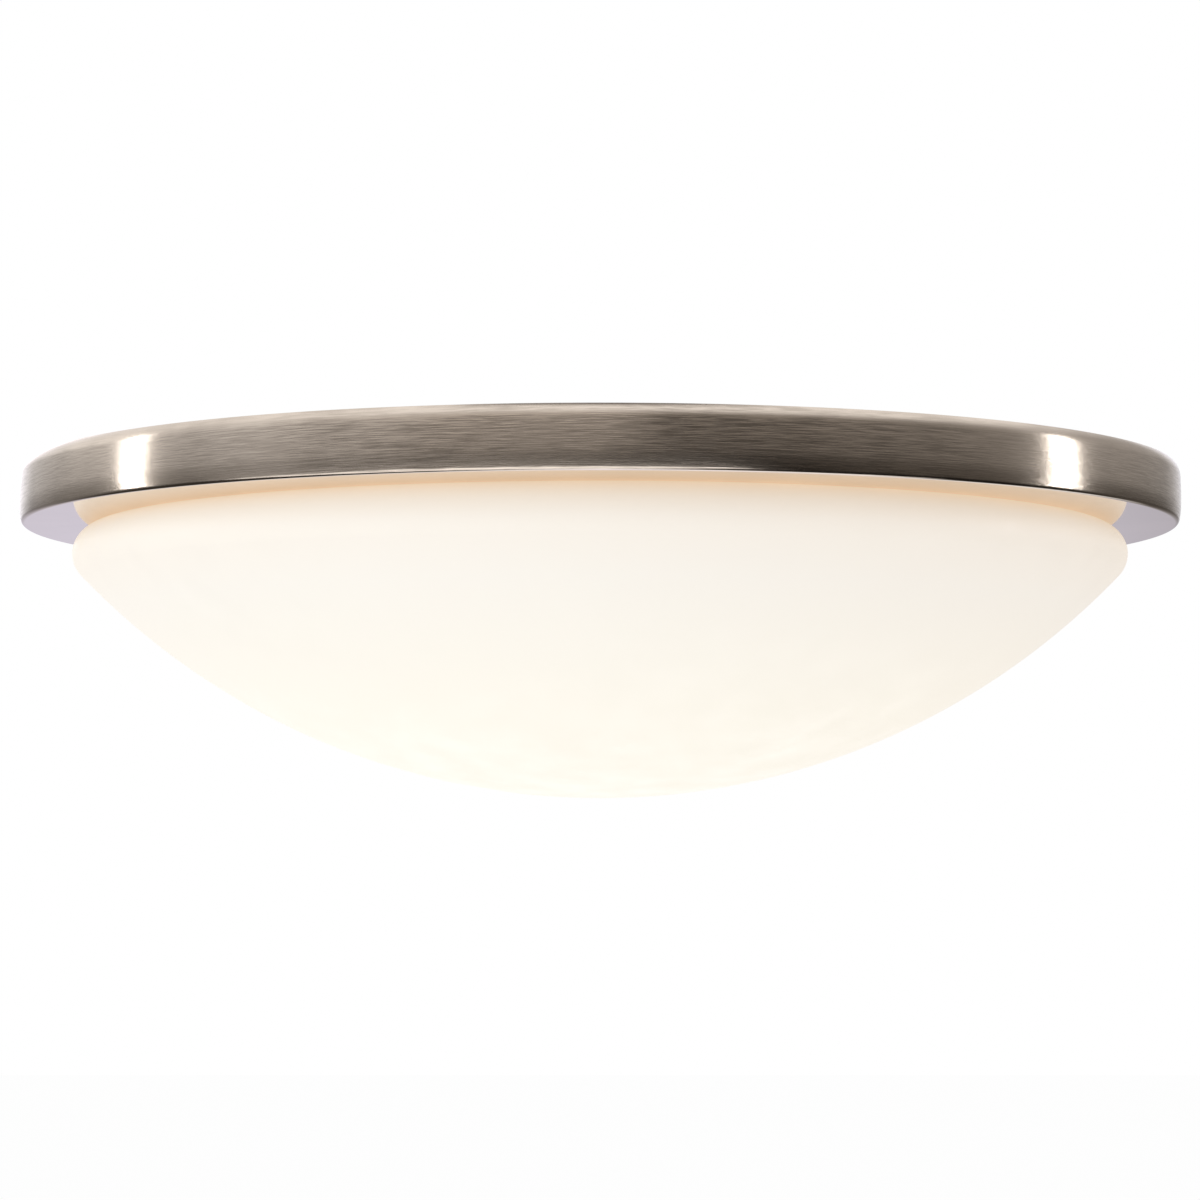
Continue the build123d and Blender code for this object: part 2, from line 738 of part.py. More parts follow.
def build_lamp_globe(angle: float) -> Part:
    """Frosted plastic globe: a thin dome with a lip that seats on the housing."""
    inner = globe_radius - globe_wall
    start = housing_end + running_gap
    lip_end = on_circle(globe_centre, 0, globe_radius, 90 + globe_lip_angle)
    with BuildPart() as globe:
        with BuildSketch(radial_plane(angle, lamp_axis_z)):
            with BuildLine():
                Polyline((start, inner), (start, inner + globe_wall / 2), lip_end)
                ThreePointArc(
                    lip_end,
                    on_circle(globe_centre, 0, globe_radius, 45),
                    (globe_end, 0),
                )
                Line((globe_end, 0), (globe_end - globe_wall, 0))
                ThreePointArc(
                    (globe_end - globe_wall, 0),
                    on_circle(globe_centre, 0, inner, 45),
                    (globe_centre, inner),
                )
                Line((globe_centre, inner), (start, inner))
            make_face()
        revolve(axis=lamp_axis(angle))
    return globe.part


for number, angle in lamp_numbers:
    write(build_centre_contact(angle), f"centre_contact_{number}")
    write(build_lamp_cap(angle), f"lamp_{number}_cap")
    write(build_lamp_insulator(angle), f"lamp_{number}_insulator")
    write(build_tip_contact(angle), f"lamp_{number}_tip_contact")
    write(build_lamp_housing(angle), f"lamp_{number}_housing")
    write(build_lamp_globe(angle), f"lamp_{number}_globe")

# ----------------------------------------------------------------------------
# Terminal block
# ----------------------------------------------------------------------------

pole_places = [-pole_pitch, 0, pole_pitch]
clamp_bores = [clamp_bore_width, earth_bore_width, clamp_bore_width]
clamp_z = -clamp_depth
block_top = well_floor_top + block_height
block_front = block_centre_y + block_width / 2
clamp_screw_ys = [
    block_centre_y + side * (clamp_length / 2 - clamp_screw_inset) for side in (-1, 1)
]
clamp_screw_places = [(x, y) for x in pole_places for y in clamp_screw_ys]
block_screw_places = [(x, block_centre_y) for x in (-block_screw_offset, block_screw_offset)]
block_front_plane = Plane(
    origin=(0, block_centre_y, clamp_z), x_dir=(1, 0, 0), z_dir=(0, -1, 0)
)

with BuildPart() as terminal_block:
    with BuildSketch(Plane.XY.offset(well_floor_top)):
        with Locations((0, block_centre_y)):
            RectangleRounded(block_length, block_width, block_corner_radius)
    extrude(amount=block_height)
    with BuildSketch(block_front_plane):
        for x, bore in zip(pole_places, clamp_bores):
            with Locations((x, 0)):
                Rectangle(bore + 2 * (clamp_wall + running_gap), clamp_height + 2 * running_gap)
    extrude(amount=block_width, both=True, mode=Mode.SUBTRACT)
    with BuildSketch(Plane.XY.offset(block_top)):
        with Locations(*clamp_screw_places):
            Circle(clamp_screw_well_radius)
    extrude(amount=clamp_z - block_top, mode=Mode.SUBTRACT)
    with BuildSketch(Plane.XY.offset(block_top)):
        with Locations(*block_screw_places):
            Circle(block_screw_head_radius + running_gap)
    extrude(amount=-block_screw_recess, mode=Mode.SUBTRACT)
    with BuildSketch(Plane.XY.offset(block_top)):
        with Locations(*block_screw_places):
            Circle(block_screw_radius + running_gap)
    extrude(amount=-block_height, mode=Mode.SUBTRACT)
write(terminal_block.part, "terminal_block")

with BuildPart() as terminal_clamps:
    with BuildSketch(block_front_plane):
        for x, bore in zip(pole_places, clamp_bores):
            with Locations((x, 0)):
                Rectangle(bore + 2 * clamp_wall, clamp_height)
    extrude(amount=clamp_length / 2, both=True)
    with BuildSketch(block_front_plane):
        for x, bore in zip(pole_places, clamp_bores):
            with Locations((x, 0)):
                Rectangle(bore, clamp_bore_height)
    extrude(amount=clamp_length, both=True, mode=Mode.SUBTRACT)
    with BuildSketch(Plane.XY.offset(clamp_z)):
        with Locations(*clamp_screw_places):
            Circle(clamp_screw_radius + running_gap)
    extrude(amount=clamp_height, mode=Mode.SUBTRACT)
write(terminal_clamps.part, "terminal_clamps")

clamp_screw_foot = clamp_z + clamp_bore_height / 2
with BuildPart() as terminal_screws:
    with BuildSketch(Plane.XY.offset(clamp_screw_foot)):
        with Locations(*clamp_screw_places):
            Circle(clamp_screw_radius)
    extrude(amount=block_top - clamp_wall - clamp_screw_foot)
    with BuildSketch(Plane.XY.offset(block_top - clamp_wall)):
        with Locations(*clamp_screw_places):
            Rectangle(2 * clamp_screw_radius, clamp_screw_radius / 3)
    extrude(amount=-clamp_wall, mode=Mode.SUBTRACT)
write(terminal_screws.part, "terminal_screws")

with BuildPart() as block_screws:
    with BuildSketch(Plane.XY.offset(block_top - block_screw_recess)):
        with Locations(*block_screw_places):
            Circle(block_screw_head_radius)
    extrude(amount=block_screw_head_height)
    with BuildSketch(Plane.XY.offset(block_top - block_screw_recess)):
        with Locations(*block_screw_places):
            Circle(block_screw_radius)
    extrude(amount=block_screw_recess - block_height - block_screw_reach)
write(block_screws.part, "block_screws")

# ----------------------------------------------------------------------------
# Earth screw and tag, and the leads
# ----------------------------------------------------------------------------

with BuildPart() as earth_tag:
    with BuildSketch(Plane.XY.offset(well_floor_top)):
        with Locations((0, earth_screw_y)):
            Circle(earth_tag_radius)
        with Locations((0, earth_screw_y - earth_tag_length / 2)):
            Rectangle(2 * lead_radius + clamp_wall, earth_tag_length)
        with Locations((0, earth_screw_y)):
            Circle(holder_screw_radius + running_gap, mode=Mode.SUBTRACT)
    extrude(amount=earth_tag_wall)
write(earth_tag.part, "earth_tag")

with BuildPart() as earth_screw:
    with Locations((0, earth_screw_y, well_floor_top + earth_tag_wall)):
        Cylinder(
            screw_head_radius,
            screw_head_height,
            align=(Align.CENTER, Align.CENTER, Align.MIN),
        )
        Cylinder(
            holder_screw_radius,
            earth_tag_wall + pan_wall + screw_head_height,
            align=(Align.CENTER, Align.CENTER, Align.MAX),
        )
write(earth_screw.part, "earth_screw")


def build_lead(points: list, name: str) -> None:
    """Insulated lead: straight runs joined by arcs as large as the runs allow."""
    corners = [Vector(*point) for point in points]
    runs = [b - a for a, b in zip(corners, corners[1:])]
    radii = []
    for before, after in zip(runs, runs[1:]):
        half_turn = radians(before.get_angle(after)) / 2
        radii.append(0.45 * min(before.length, after.length) / tan(half_turn))
    print(name, "bend radii", [round(radius, 1) for radius in radii])
    with BuildPart() as lead:
        with BuildLine() as route:
            FilletPolyline(*corners, radius=radii)
        with BuildSketch(Plane(origin=corners[0], z_dir=runs[0])):
            Circle(lead_radius)
        sweep(path=route.line)
    write(lead.part, name)


lead_end_y = block_front - lead_reach
lead_foot_z = well_floor_bottom - wire_hole_depth + seat_gap
turn_in_y = block_front + lead_turn_in
line_pole, _, neutral_pole = pole_places


def lamp_lead(angle: float, side: float, z: float, x: float, turn_y: float) -> list:
    """Route from a lampholder's bushing, up and over to the terminal at x."""
    start = at_angle(holder_mid_radius, angle, side)
    return [(*start, lead_foot_z), (*start, z), (x, turn_y, z), (x, lead_end_y, z)]


line_z, neutral_z = -line_lead_depth, -neutral_lead_depth
back_lamp, left_lamp, right_lamp = lamp_angles
lead_routes = {
    "black_lead_1": (back_lamp, lead_spread, line_z, line_pole, back_lead_turn_y),
    "black_lead_2": (left_lamp, lead_spread, line_z, line_pole - lead_pitch, turn_in_y),
    "black_lead_3": (right_lamp, lead_spread, line_z, line_pole + lead_pitch, cross_lead_turn_y),
    "white_lead_1": (back_lamp, -lead_spread, neutral_z, neutral_pole, back_lead_turn_y),
    "white_lead_2": (left_lamp, -lead_spread, neutral_z, neutral_pole - lead_pitch, cross_lead_turn_y),
    "white_lead_3": (right_lamp, -lead_spread, neutral_z, neutral_pole + lead_pitch, turn_in_y),
}
for name, route in lead_routes.items():
    build_lead(lamp_lead(*route), name)

tag_end_y = earth_screw_y - earth_tag_length
earth_z = well_floor_top + earth_tag_wall + lead_radius
build_lead(
    [
        (0, tag_end_y + earth_lead_start, earth_z),
        (0, tag_end_y - earth_lead_lift, earth_z),
        (0, block_front + earth_lead_start, clamp_z),
        (0, lead_end_y, clamp_z),
    ],
    "earth_lead",
)

# ----------------------------------------------------------------------------
# Opal glass bowl
# ----------------------------------------------------------------------------

shoulder_x = bowl_widest_radius - bowl_shoulder_radius
bowl_top = -ring_height - seat_gap
shoulder_z = bowl_top - bowl_shoulder_radius
lip_radius = bowl_wall / 2
lip_centre = (bowl_mouth_radius + lip_radius, bowl_top - lip_radius)


def enclosing_arc(near: tuple, near_radius: float, far: tuple, far_radius: float) -> tuple:
    """Height of the centre, on the axis, and radius of the circle that touches two others inside it.

    With h the centre's height and b its distance to the near circle's centre, b is p - q * h,
    and b * b is the near centre's distance squared: a quadratic in h.
    """
    step = near_radius - far_radius
    far_square, near_square = far[0] ** 2 + far[1] ** 2, near[0] ** 2 + near[1] ** 2
    p = (far_square - near_square - step**2) / (2 * step)
    q = (far[1] - near[1]) / step
    a, b, c = q**2 - 1, 2 * (near[1] - p * q), p**2 - near_square
    height = (-b - sqrt(b**2 - 4 * a * c)) / (2 * a)
    return height, p - q * height + near_radius


# the dome flows into the shoulder and clears the globes
dome_centre_z, bowl_dome_radius = enclosing_arc(
    (globe_centre, lamp_axis_z),
    globe_radius + bowl_lamp_gap + bowl_wall,
    (shoulder_x, shoulder_z),
    bowl_shoulder_radius,
)
dome_edge_angle = degrees(atan2(shoulder_z - dome_centre_z, shoulder_x))

with BuildPart() as glass_bowl:
    with BuildSketch(Plane.XZ):
        with BuildLine():
            dome = (0, dome_centre_z)
            shoulder = (shoulder_x, shoulder_z)
            inner_dome = bowl_dome_radius - bowl_wall
            inner_shoulder = bowl_shoulder_radius - bowl_wall
            arc_between(dome, bowl_dome_radius, -90, dome_edge_angle)
            arc_between(shoulder, bowl_shoulder_radius, dome_edge_angle, 90)
            Line((shoulder_x, bowl_top), (lip_centre[0], bowl_top))
            arc_between(lip_centre, lip_radius, 90, 270)
            Line((lip_centre[0], bowl_top - bowl_wall), (shoulder_x, bowl_top - bowl_wall))
            arc_between(shoulder, inner_shoulder, 90, dome_edge_angle)
            arc_between(dome, inner_dome, dome_edge_angle, -90)
            Line((0, dome_centre_z - inner_dome), (0, dome_centre_z - bowl_dome_radius))
        make_face()
    revolve(axis=Axis.Z)
write(glass_bowl.part, "glass_bowl")

# ----------------------------------------------------------------------------
# Retaining pawls, their brackets, pins and springs
# ----------------------------------------------------------------------------

nose = (bowl_mouth_radius + pawl_nose_overlap, -pawl_nose_depth)
tail = (bowl_mouth_radius - pawl_tail_inset, -pawl_tail_depth)
pivot = (pawl_pivot_radius, pawl_pivot_z)
half_gap = pawl_bracket_gap / 2
pawl_side = half_gap - running_gap - pawl_width / 2  # the pawl stands against one ear
base_z = pan_flat_bottom
ramp_way = Vector(-1, 1).normalized()
ramp_normal = Vector(1, 1).normalized()
ramp_clear = Vector(*lip_centre) - ramp_normal * (lip_radius + seat_gap)
ramp_top = ramp_clear + ramp_way * lip_radius
ramp_foot_drop = nose[0] - ramp_clear.X
ramp_foot = (nose[0], ramp_clear.Y - ramp_foot_drop)


def build_pawl(angle: float) -> Part:
    """Sprung pawl: a hub on the pin, a ramped nose under the bowl's lip and a long tail."""
    with BuildPart() as pawl:
        with BuildSketch(radial_plane(angle, side=pawl_side - pawl_width / 2)):
            with BuildLine():
                Polyline(
                    (pivot[0], pivot[1] + pawl_hub_radius),
                    (ramp_top.X, ramp_top.Y),
                    ramp_foot,
                    (nose[0], ramp_foot[1] - pawl_thickness / 4),
                    tail,
                    (tail[0] - pawl_thickness, tail[1] + pawl_thickness / 4),
                    (pivot[0] + pawl_thickness, pivot[1] - 2 * pawl_hub_radius),
                    (pivot[0], pivot[1] - pawl_hub_radius),
                    close=True,
                )
            make_face()
            with Locations(pivot):
                Circle(pawl_hub_radius)
                Circle(pin_radius + running_gap, mode=Mode.SUBTRACT)
        extrude(amount=-pawl_width)
    return pawl.part


def build_pawl_bracket(angle: float) -> Part:
    """Channel riveted under the pan: a flat base and two ears that hold the pin."""
    mid = (pawl_base_inner + pawl_base_outer) / 2
    ear_foot = (pivot[0], pivot[1] - pawl_ear_radius)
    with BuildPart() as bracket:
        with BuildSketch(radial_plane(angle)):
            with Locations((mid, base_z - pawl_bracket_wall / 2)):
                Rectangle(pawl_bracket_base_length, pawl_bracket_wall)
        extrude(amount=half_gap + pawl_bracket_wall, both=True)
        for side in (half_gap, -half_gap - pawl_bracket_wall):
            with BuildSketch(radial_plane(angle, side=side)):
                with BuildLine():
                    Polyline(
                        (pawl_base_inner + pawl_bracket_rivet_inset, base_z),
                        (pawl_base_outer, base_z),
                        (pawl_base_outer, pivot[1]),
                        (pivot[0] - pawl_ear_radius, pivot[1]),
                        close=True,
                    )
                make_face()
                with Locations(pivot):
                    Circle(pawl_ear_radius)
                with Locations(pivot):
                    Circle(pin_radius + running_gap, mode=Mode.SUBTRACT)
            extrude(amount=-pawl_bracket_wall)
        with BuildSketch(Plane.XY.offset(base_z)):
            with Locations(*(at_angle(radius, angle) for radius in pawl_rivet_radii)):
                Circle(rivet_radius + running_gap)
        extrude(amount=-pawl_bracket_wall, mode=Mode.SUBTRACT)
    return bracket.part


def build_pawl_spring(angle: float) -> Part:
    """Torsion spring round the pin: one leg up to the bracket's base, one down the pawl."""
    start = half_gap - 2 * running_gap - pawl_width - seat_gap - spring_wire_radius
    up_leg = base_z - pawl_bracket_wall - seat_gap - pivot[1]
    height = spring_turns * spring_pitch
    side_x = pivot[0] + spring_coil_radius
    legs = [(0, -spring_leg_length), (height, up_leg)]
    with BuildPart() as spring:
        with BuildLine() as coil:
            Helix(spring_pitch, height, spring_coil_radius, center=(*pivot, 0))
        with BuildSketch(Plane(origin=coil.line @ 0, z_dir=coil.line % 0)):
            Circle(spring_wire_radius)
        sweep(path=coil.line)
        for level, length in legs:
            with Locations((side_x, pivot[1], level)):
                Sphere(spring_wire_radius + running_gap)
            with BuildSketch(Plane.XZ.offset(-pivot[1])):
                with Locations((side_x, level)):
                    Circle(spring_wire_radius)
            extrude(amount=-length)
    return radial_plane(angle, side=start).location * spring.part


for number, angle in enumerate(pawl_angles, start=1):
    write(build_pawl(angle), f"pawl_{number}")
    write(build_pawl_bracket(angle), f"pawl_bracket_{number}")
    write(build_pawl_spring(angle), f"pawl_spring_{number}")

with BuildPart() as pawl_pins:
    for angle in pawl_angles:
        with BuildSketch(radial_plane(angle)):
            with Locations(pivot):
                Circle(pin_radius)
        extrude(amount=half_gap + pawl_bracket_wall, both=True)
        for side in (half_gap + pawl_bracket_wall, -half_gap - pawl_bracket_wall - pin_head_length):
            with BuildSketch(radial_plane(angle, side=side)):
                with Locations(pivot):
                    Circle(pin_head_radius)
            extrude(amount=-pin_head_length)
write(pawl_pins.part, "pawl_pins")

pawl_rivet_places = [
    at_angle(radius, angle) for angle in pawl_angles for radius in pawl_rivet_radii
]
with BuildPart() as pawl_rivets:
    with BuildSketch(Plane.XY.offset(pan_flat_top)):
        with Locations(*pawl_rivet_places):
            Circle(rivet_radius)
    extrude(amount=-pan_wall - pawl_bracket_wall)
    with BuildSketch(Plane.XY.offset(pan_flat_top)):
        with Locations(*pawl_rivet_places):
            Circle(rivet_tail_radius)
    extrude(amount=rivet_tail_height)
    with BuildSketch(Plane.XY.offset(base_z - pawl_bracket_wall)):
        with Locations(*pawl_rivet_places):
            Circle(rivet_head_radius)
    extrude(amount=-rivet_tail_height)
write(pawl_rivets.part, "pawl_rivets")
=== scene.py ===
"""Looks of a flush mount ceiling light, built around its packed construction.

Metres, in the construction's own frame: the origin is the centre of the ceiling plane and
+Z points up into the ceiling, so the light hangs below it.
"""

import json
import logging
import math
from collections.abc import Sequence
from dataclasses import dataclass
from enum import Enum

import bmesh
import bpy
from mathutils import Matrix, Vector


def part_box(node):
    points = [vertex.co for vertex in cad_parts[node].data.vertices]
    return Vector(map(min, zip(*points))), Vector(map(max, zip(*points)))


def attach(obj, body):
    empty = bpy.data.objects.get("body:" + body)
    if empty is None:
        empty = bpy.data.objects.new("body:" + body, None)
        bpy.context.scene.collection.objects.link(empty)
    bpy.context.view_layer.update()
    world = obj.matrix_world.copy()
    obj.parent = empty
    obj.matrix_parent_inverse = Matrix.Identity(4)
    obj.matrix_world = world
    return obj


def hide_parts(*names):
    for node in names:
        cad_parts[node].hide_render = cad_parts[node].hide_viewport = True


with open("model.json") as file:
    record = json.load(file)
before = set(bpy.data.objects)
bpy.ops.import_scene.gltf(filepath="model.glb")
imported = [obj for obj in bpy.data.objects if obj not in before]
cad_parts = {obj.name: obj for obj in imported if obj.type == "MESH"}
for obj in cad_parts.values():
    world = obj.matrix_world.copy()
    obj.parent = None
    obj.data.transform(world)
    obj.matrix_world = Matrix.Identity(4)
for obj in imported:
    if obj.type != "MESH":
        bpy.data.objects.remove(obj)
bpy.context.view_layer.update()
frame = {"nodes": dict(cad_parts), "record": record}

log = logging.getLogger("ceiling_light")

MM = 0.001
MERGE_DISTANCE = 0.001 * MM
ROUND_STEPS = 288
NOISE_SPAN = (0.3, 0.7)

Colour = tuple[float, float, float]
Point = tuple[float, float]
Socket = bpy.types.NodeSocket
Feed = Socket | float | tuple[float, ...]

WHITE: Colour = (1.0, 1.0, 1.0)


# ----------------------------------------------------------------------------
# Shader nodes
# ----------------------------------------------------------------------------


class Sheet:
    """A node tree that is written from left to right."""

    def __init__(self, tree: bpy.types.NodeTree) -> None:
        """Keeps the tree and empties it."""
        self.tree = tree
        self.tree.nodes.clear()

    def node(
        self, kind: str, settings: dict[str, object] | None = None, **sockets: Feed
    ) -> bpy.types.Node:
        """Adds one node.

        Args:
            kind: the node's type, without its "ShaderNode".
            settings: the node's own properties.
            sockets: a value or an output for each input, with _ for a space in its name.

        Returns:
            The new node.
        """
        made = self.tree.nodes.new(f"ShaderNode{kind}")
        for name, value in (settings or {}).items():
            setattr(made, name, value)
        for name, value in sockets.items():
            self.feed(made.inputs[name.replace("_", " ")], value)
        return made

    def feed(self, socket: Socket, value: Feed) -> None:
        """Links an output to a socket, or writes a constant on it.

        Args:
            socket: the input.
            value: an output socket, a number, a colour or a vector.
        """
        if isinstance(value, Socket):
            self.tree.links.new(value, socket)
        elif socket.type == "RGBA" and len(value) == 3:
            socket.default_value = (*value, 1.0)
        else:
            socket.default_value = value

    def place(self) -> Socket:
        """Gives the surface's point, in the light's own frame."""
        return self.node("TexCoord").outputs["Object"]

    def axes(self) -> tuple[Socket, ...]:
        """Gives the x, y and z of the surface's point."""
        return tuple(self.node("SeparateXYZ", Vector=self.place()).outputs)

    def math(self, operation: str, *values: Feed, clamp: bool = False) -> Socket:
        """Works out one number from others.

        Args:
            operation: the Math node's operation.
            values: numbers or outputs, in the node's order.
            clamp: keeps the result between 0 and 1.

        Returns:
            The result's output.
        """
        made = self.node("Math", {"operation": operation, "use_clamp": clamp})
        for socket, value in zip(made.inputs, values):
            self.feed(socket, value)
        return made.outputs[0]

    def times(self, first: Feed, second: Feed) -> Socket:
        """Multiplies two colours or vectors, channel by channel.

        Args:
            first: a colour, a vector or an output.
            second: a colour, a vector or an output.

        Returns:
            The product's output.
        """
        made = self.node("VectorMath", {"operation": "MULTIPLY"})
        self.feed(made.inputs[0], first)
        self.feed(made.inputs[1], second)
        return made.outputs[0]

    def spread(
        self, value: Feed, low: Feed, high: Feed, start: float = 0.0, end: float = 1.0
    ) -> Socket:
        """Maps a value from start..end to low..high, held at both ends.

        Args:
            value: the output to map.
            low: the result at start.
            high: the result at end.
            start: where the range begins.
            end: where the range ends.

        Returns:
            The result's output.
        """
        made = self.node("MapRange", Value=value)
        names = ("From Min", "From Max", "To Min", "To Max")
        for name, number in zip(names, (start, end, low, high)):
            self.feed(made.inputs[name], number)
        return made.outputs[0]

    def blend(self, mask: Feed, first: Feed, second: Feed) -> Socket:
        """Mixes two colours.

        Args:
            mask: 0 for the first, 1 for the second.
            first: a colour or an output.
            second: a colour or an output.

        Returns:
            The mixed colour's output.
        """
        made = self.node("Mix", {"data_type": "RGBA"})
        for index, value in ((0, mask), (6, first), (7, second)):
            self.feed(made.inputs[index], value)
        return made.outputs[2]

    def ramp(self, value: Feed, stops: Sequence[tuple[float, Colour]]) -> Socket:
        """Maps a value to a colour by a row of stops.

        Args:
            value: the output to map.
            stops: each place from 0 to 1, and its colour.

        Returns:
            The colour's output.
        """
        made = self.node("ValToRGB", Fac=value)
        elements = made.color_ramp.elements
        while len(elements) < len(stops):
            elements.new(0.5)
        for element, (place, colour) in zip(elements, stops):
            element.position = place
            element.color = (*colour, 1.0)
        return made.outputs[0]

    def relief(self, shader: bpy.types.Node, height: Socket, strength: float, depth: float) -> None:
        """Bends the shader's normal by a height, to a depth in metres."""
        bump = self.node("Bump", Strength=strength, Distance=depth, Height=height)
        self.feed(shader.inputs["Normal"], bump.outputs[0])

    def end(self, kind: str, surface: Socket) -> None:
        """Ends the tree with its output node."""
        self.feed(self.node(kind).inputs["Surface"], surface)


def blank_material(name: str) -> tuple[bpy.types.Material, Sheet]:
    """Makes a material with nothing in it.

    Args:
        name: of the material.

    Returns:
        The material, and the sheet that writes it.
    """
    made = bpy.data.materials.new(name)
    made.use_nodes = True
    return made, Sheet(made.node_tree)


class Pattern(Enum):
    """Shared surface effects, each a node group that is built once."""

    TURNED_LINES = "turned_lines"
    MOTTLE = "mottle"
    GRAIN = "grain"
    SCUFFS = "scuffs"


class PatternShop:
    """Builds the shared node groups and places them in materials."""

    INPUTS: dict[Pattern, tuple[tuple[str, float], ...]] = {
        Pattern.TURNED_LINES: (("Across", 2000.0), ("Along", 20.0), ("Detail", 2.0)),
        Pattern.MOTTLE: (("Scale", 60.0), ("Contrast", 1.0)),
        Pattern.GRAIN: (("Scale", 1500.0), ("Low", 0.3), ("High", 0.4)),
        Pattern.SCUFFS: (("Scale", 200.0), ("Amount", 0.5)),
    }
    OUTPUTS: dict[Pattern, tuple[str, ...]] = {
        Pattern.TURNED_LINES: ("Lines", "Streaks"),
        Pattern.MOTTLE: ("Mask",),
        Pattern.GRAIN: ("Roughness", "Height"),
        Pattern.SCUFFS: ("Mask",),
    }
    LINE_SHARES = (("Lines", 1.0), ("Streaks", 0.12))
    MOTTLE_GAIN = 2.5
    SCUFF_EDGE = 0.78
    SCUFF_REACH = 0.2
    SCUFF_GAIN = 6.0

    def __init__(self) -> None:
        """Starts with no group built."""
        self.built: dict[Pattern, bpy.types.NodeTree] = {}

    def place(self, sheet: Sheet, pattern: Pattern, **values: Feed) -> bpy.types.NodeOutputs:
        """Places a pattern in a material, building its group at the first use.

        Args:
            sheet: the material's sheet.
            pattern: which effect.
            values: values for the group's inputs.

        Returns:
            The pattern's outputs, by name.
        """
        if pattern not in self.built:
            self.built[pattern] = self.build(pattern)
        made = sheet.tree.nodes.new("ShaderNodeGroup")
        made.node_tree = self.built[pattern]
        for name, value in values.items():
            sheet.feed(made.inputs[name], value)
        return made.outputs

    def build(self, pattern: Pattern) -> bpy.types.NodeTree:
        """Builds one group.

        Args:
            pattern: which effect.

        Returns:
            The group's tree.
        """
        tree = bpy.data.node_groups.new(pattern.value, "ShaderNodeTree")
        for name, value in self.INPUTS[pattern]:
            socket = tree.interface.new_socket(name, in_out="INPUT", socket_type="NodeSocketFloat")
            socket.default_value = value
        for name in self.OUTPUTS[pattern]:
            tree.interface.new_socket(name, in_out="OUTPUT", socket_type="NodeSocketFloat")
        sheet = Sheet(tree)
        given = tree.nodes.new("NodeGroupInput").outputs
        results = getattr(self, f"draw_{pattern.value}")(sheet, given)
        ends = tree.nodes.new("NodeGroupOutput").inputs
        for name, result in results.items():
            sheet.feed(ends[name], result)
        log.info("pattern %s", pattern.value)
        return tree

    def draw_turned_lines(self, sheet: Sheet, given: bpy.types.NodeOutputs) -> dict[str, Socket]:
        """Lines that run round the light's axis, as a brush or a lathe leaves them.

        Args:
            sheet: the group's sheet.
            given: the group's inputs.

        Returns:
            Fine lines, and the broader streaks among them.
        """
        x, y, z = sheet.axes()
        square = sheet.math("ADD", sheet.math("POWER", x, 2.0), sheet.math("POWER", y, 2.0))
        across = sheet.math("ADD", sheet.math("SQRT", square), z)
        results = {}
        for name, share in self.LINE_SHARES:
            turned = sheet.node(
                "CombineXYZ",
                X=sheet.math("MULTIPLY", x, given["Along"]),
                Y=sheet.math("MULTIPLY", y, given["Along"]),
                Z=sheet.math("MULTIPLY", across, sheet.math("MULTIPLY", given["Across"], share)),
            ).outputs[0]
            noise = sheet.node(
                "TexNoise", Vector=turned, Scale=1.0, Detail=given["Detail"], Roughness=0.6
            )
            results[name] = noise.outputs[0]
        return results

    def draw_mottle(self, sheet: Sheet, given: bpy.types.NodeOutputs) -> dict[str, Socket]:
        """Soft uneven patches.

        Args:
            sheet: the group's sheet.
            given: the group's inputs.

        Returns:
            The patches, about an average of a half.
        """
        noise = sheet.node(
            "TexNoise", Vector=sheet.place(), Scale=given["Scale"], Detail=4.0, Roughness=0.55
        )
        centred = sheet.math("SUBTRACT", noise.outputs[0], 0.5)
        gain = sheet.math("MULTIPLY", given["Contrast"], self.MOTTLE_GAIN)
        wide = sheet.math("MULTIPLY", centred, gain)
        return {"Mask": sheet.math("ADD", wide, 0.5, clamp=True)}

    def draw_grain(self, sheet: Sheet, given: bpy.types.NodeOutputs) -> dict[str, Socket]:
        """Fine grain of a moulded, cast or painted surface.

        Args:
            sheet: the group's sheet.
            given: the group's inputs.

        Returns:
            A roughness between Low and High, and a height.
        """
        noise = sheet.node(
            "TexNoise", Vector=sheet.place(), Scale=given["Scale"], Detail=3.0, Roughness=0.6
        ).outputs[0]
        roughness = sheet.spread(noise, given["Low"], given["High"], *NOISE_SPAN)
        return {"Roughness": roughness, "Height": noise}

    def draw_scuffs(self, sheet: Sheet, given: bpy.types.NodeOutputs) -> dict[str, Socket]:
        """Scattered handling marks.

        Args:
            sheet: the group's sheet.
            given: the group's inputs.

        Returns:
            A mask that is 1 on a mark.
        """
        bent = sheet.node(
            "TexNoise", Vector=sheet.place(), Scale=given["Scale"], Detail=6.0, Distortion=1.2
        )
        reach = sheet.math("MULTIPLY", given["Amount"], self.SCUFF_REACH)
        edge = sheet.math("SUBTRACT", self.SCUFF_EDGE, reach)
        above = sheet.math("SUBTRACT", bent.outputs[0], edge)
        return {"Mask": sheet.math("MULTIPLY", above, self.SCUFF_GAIN, clamp=True)}


# ----------------------------------------------------------------------------
# Finishes
# ----------------------------------------------------------------------------


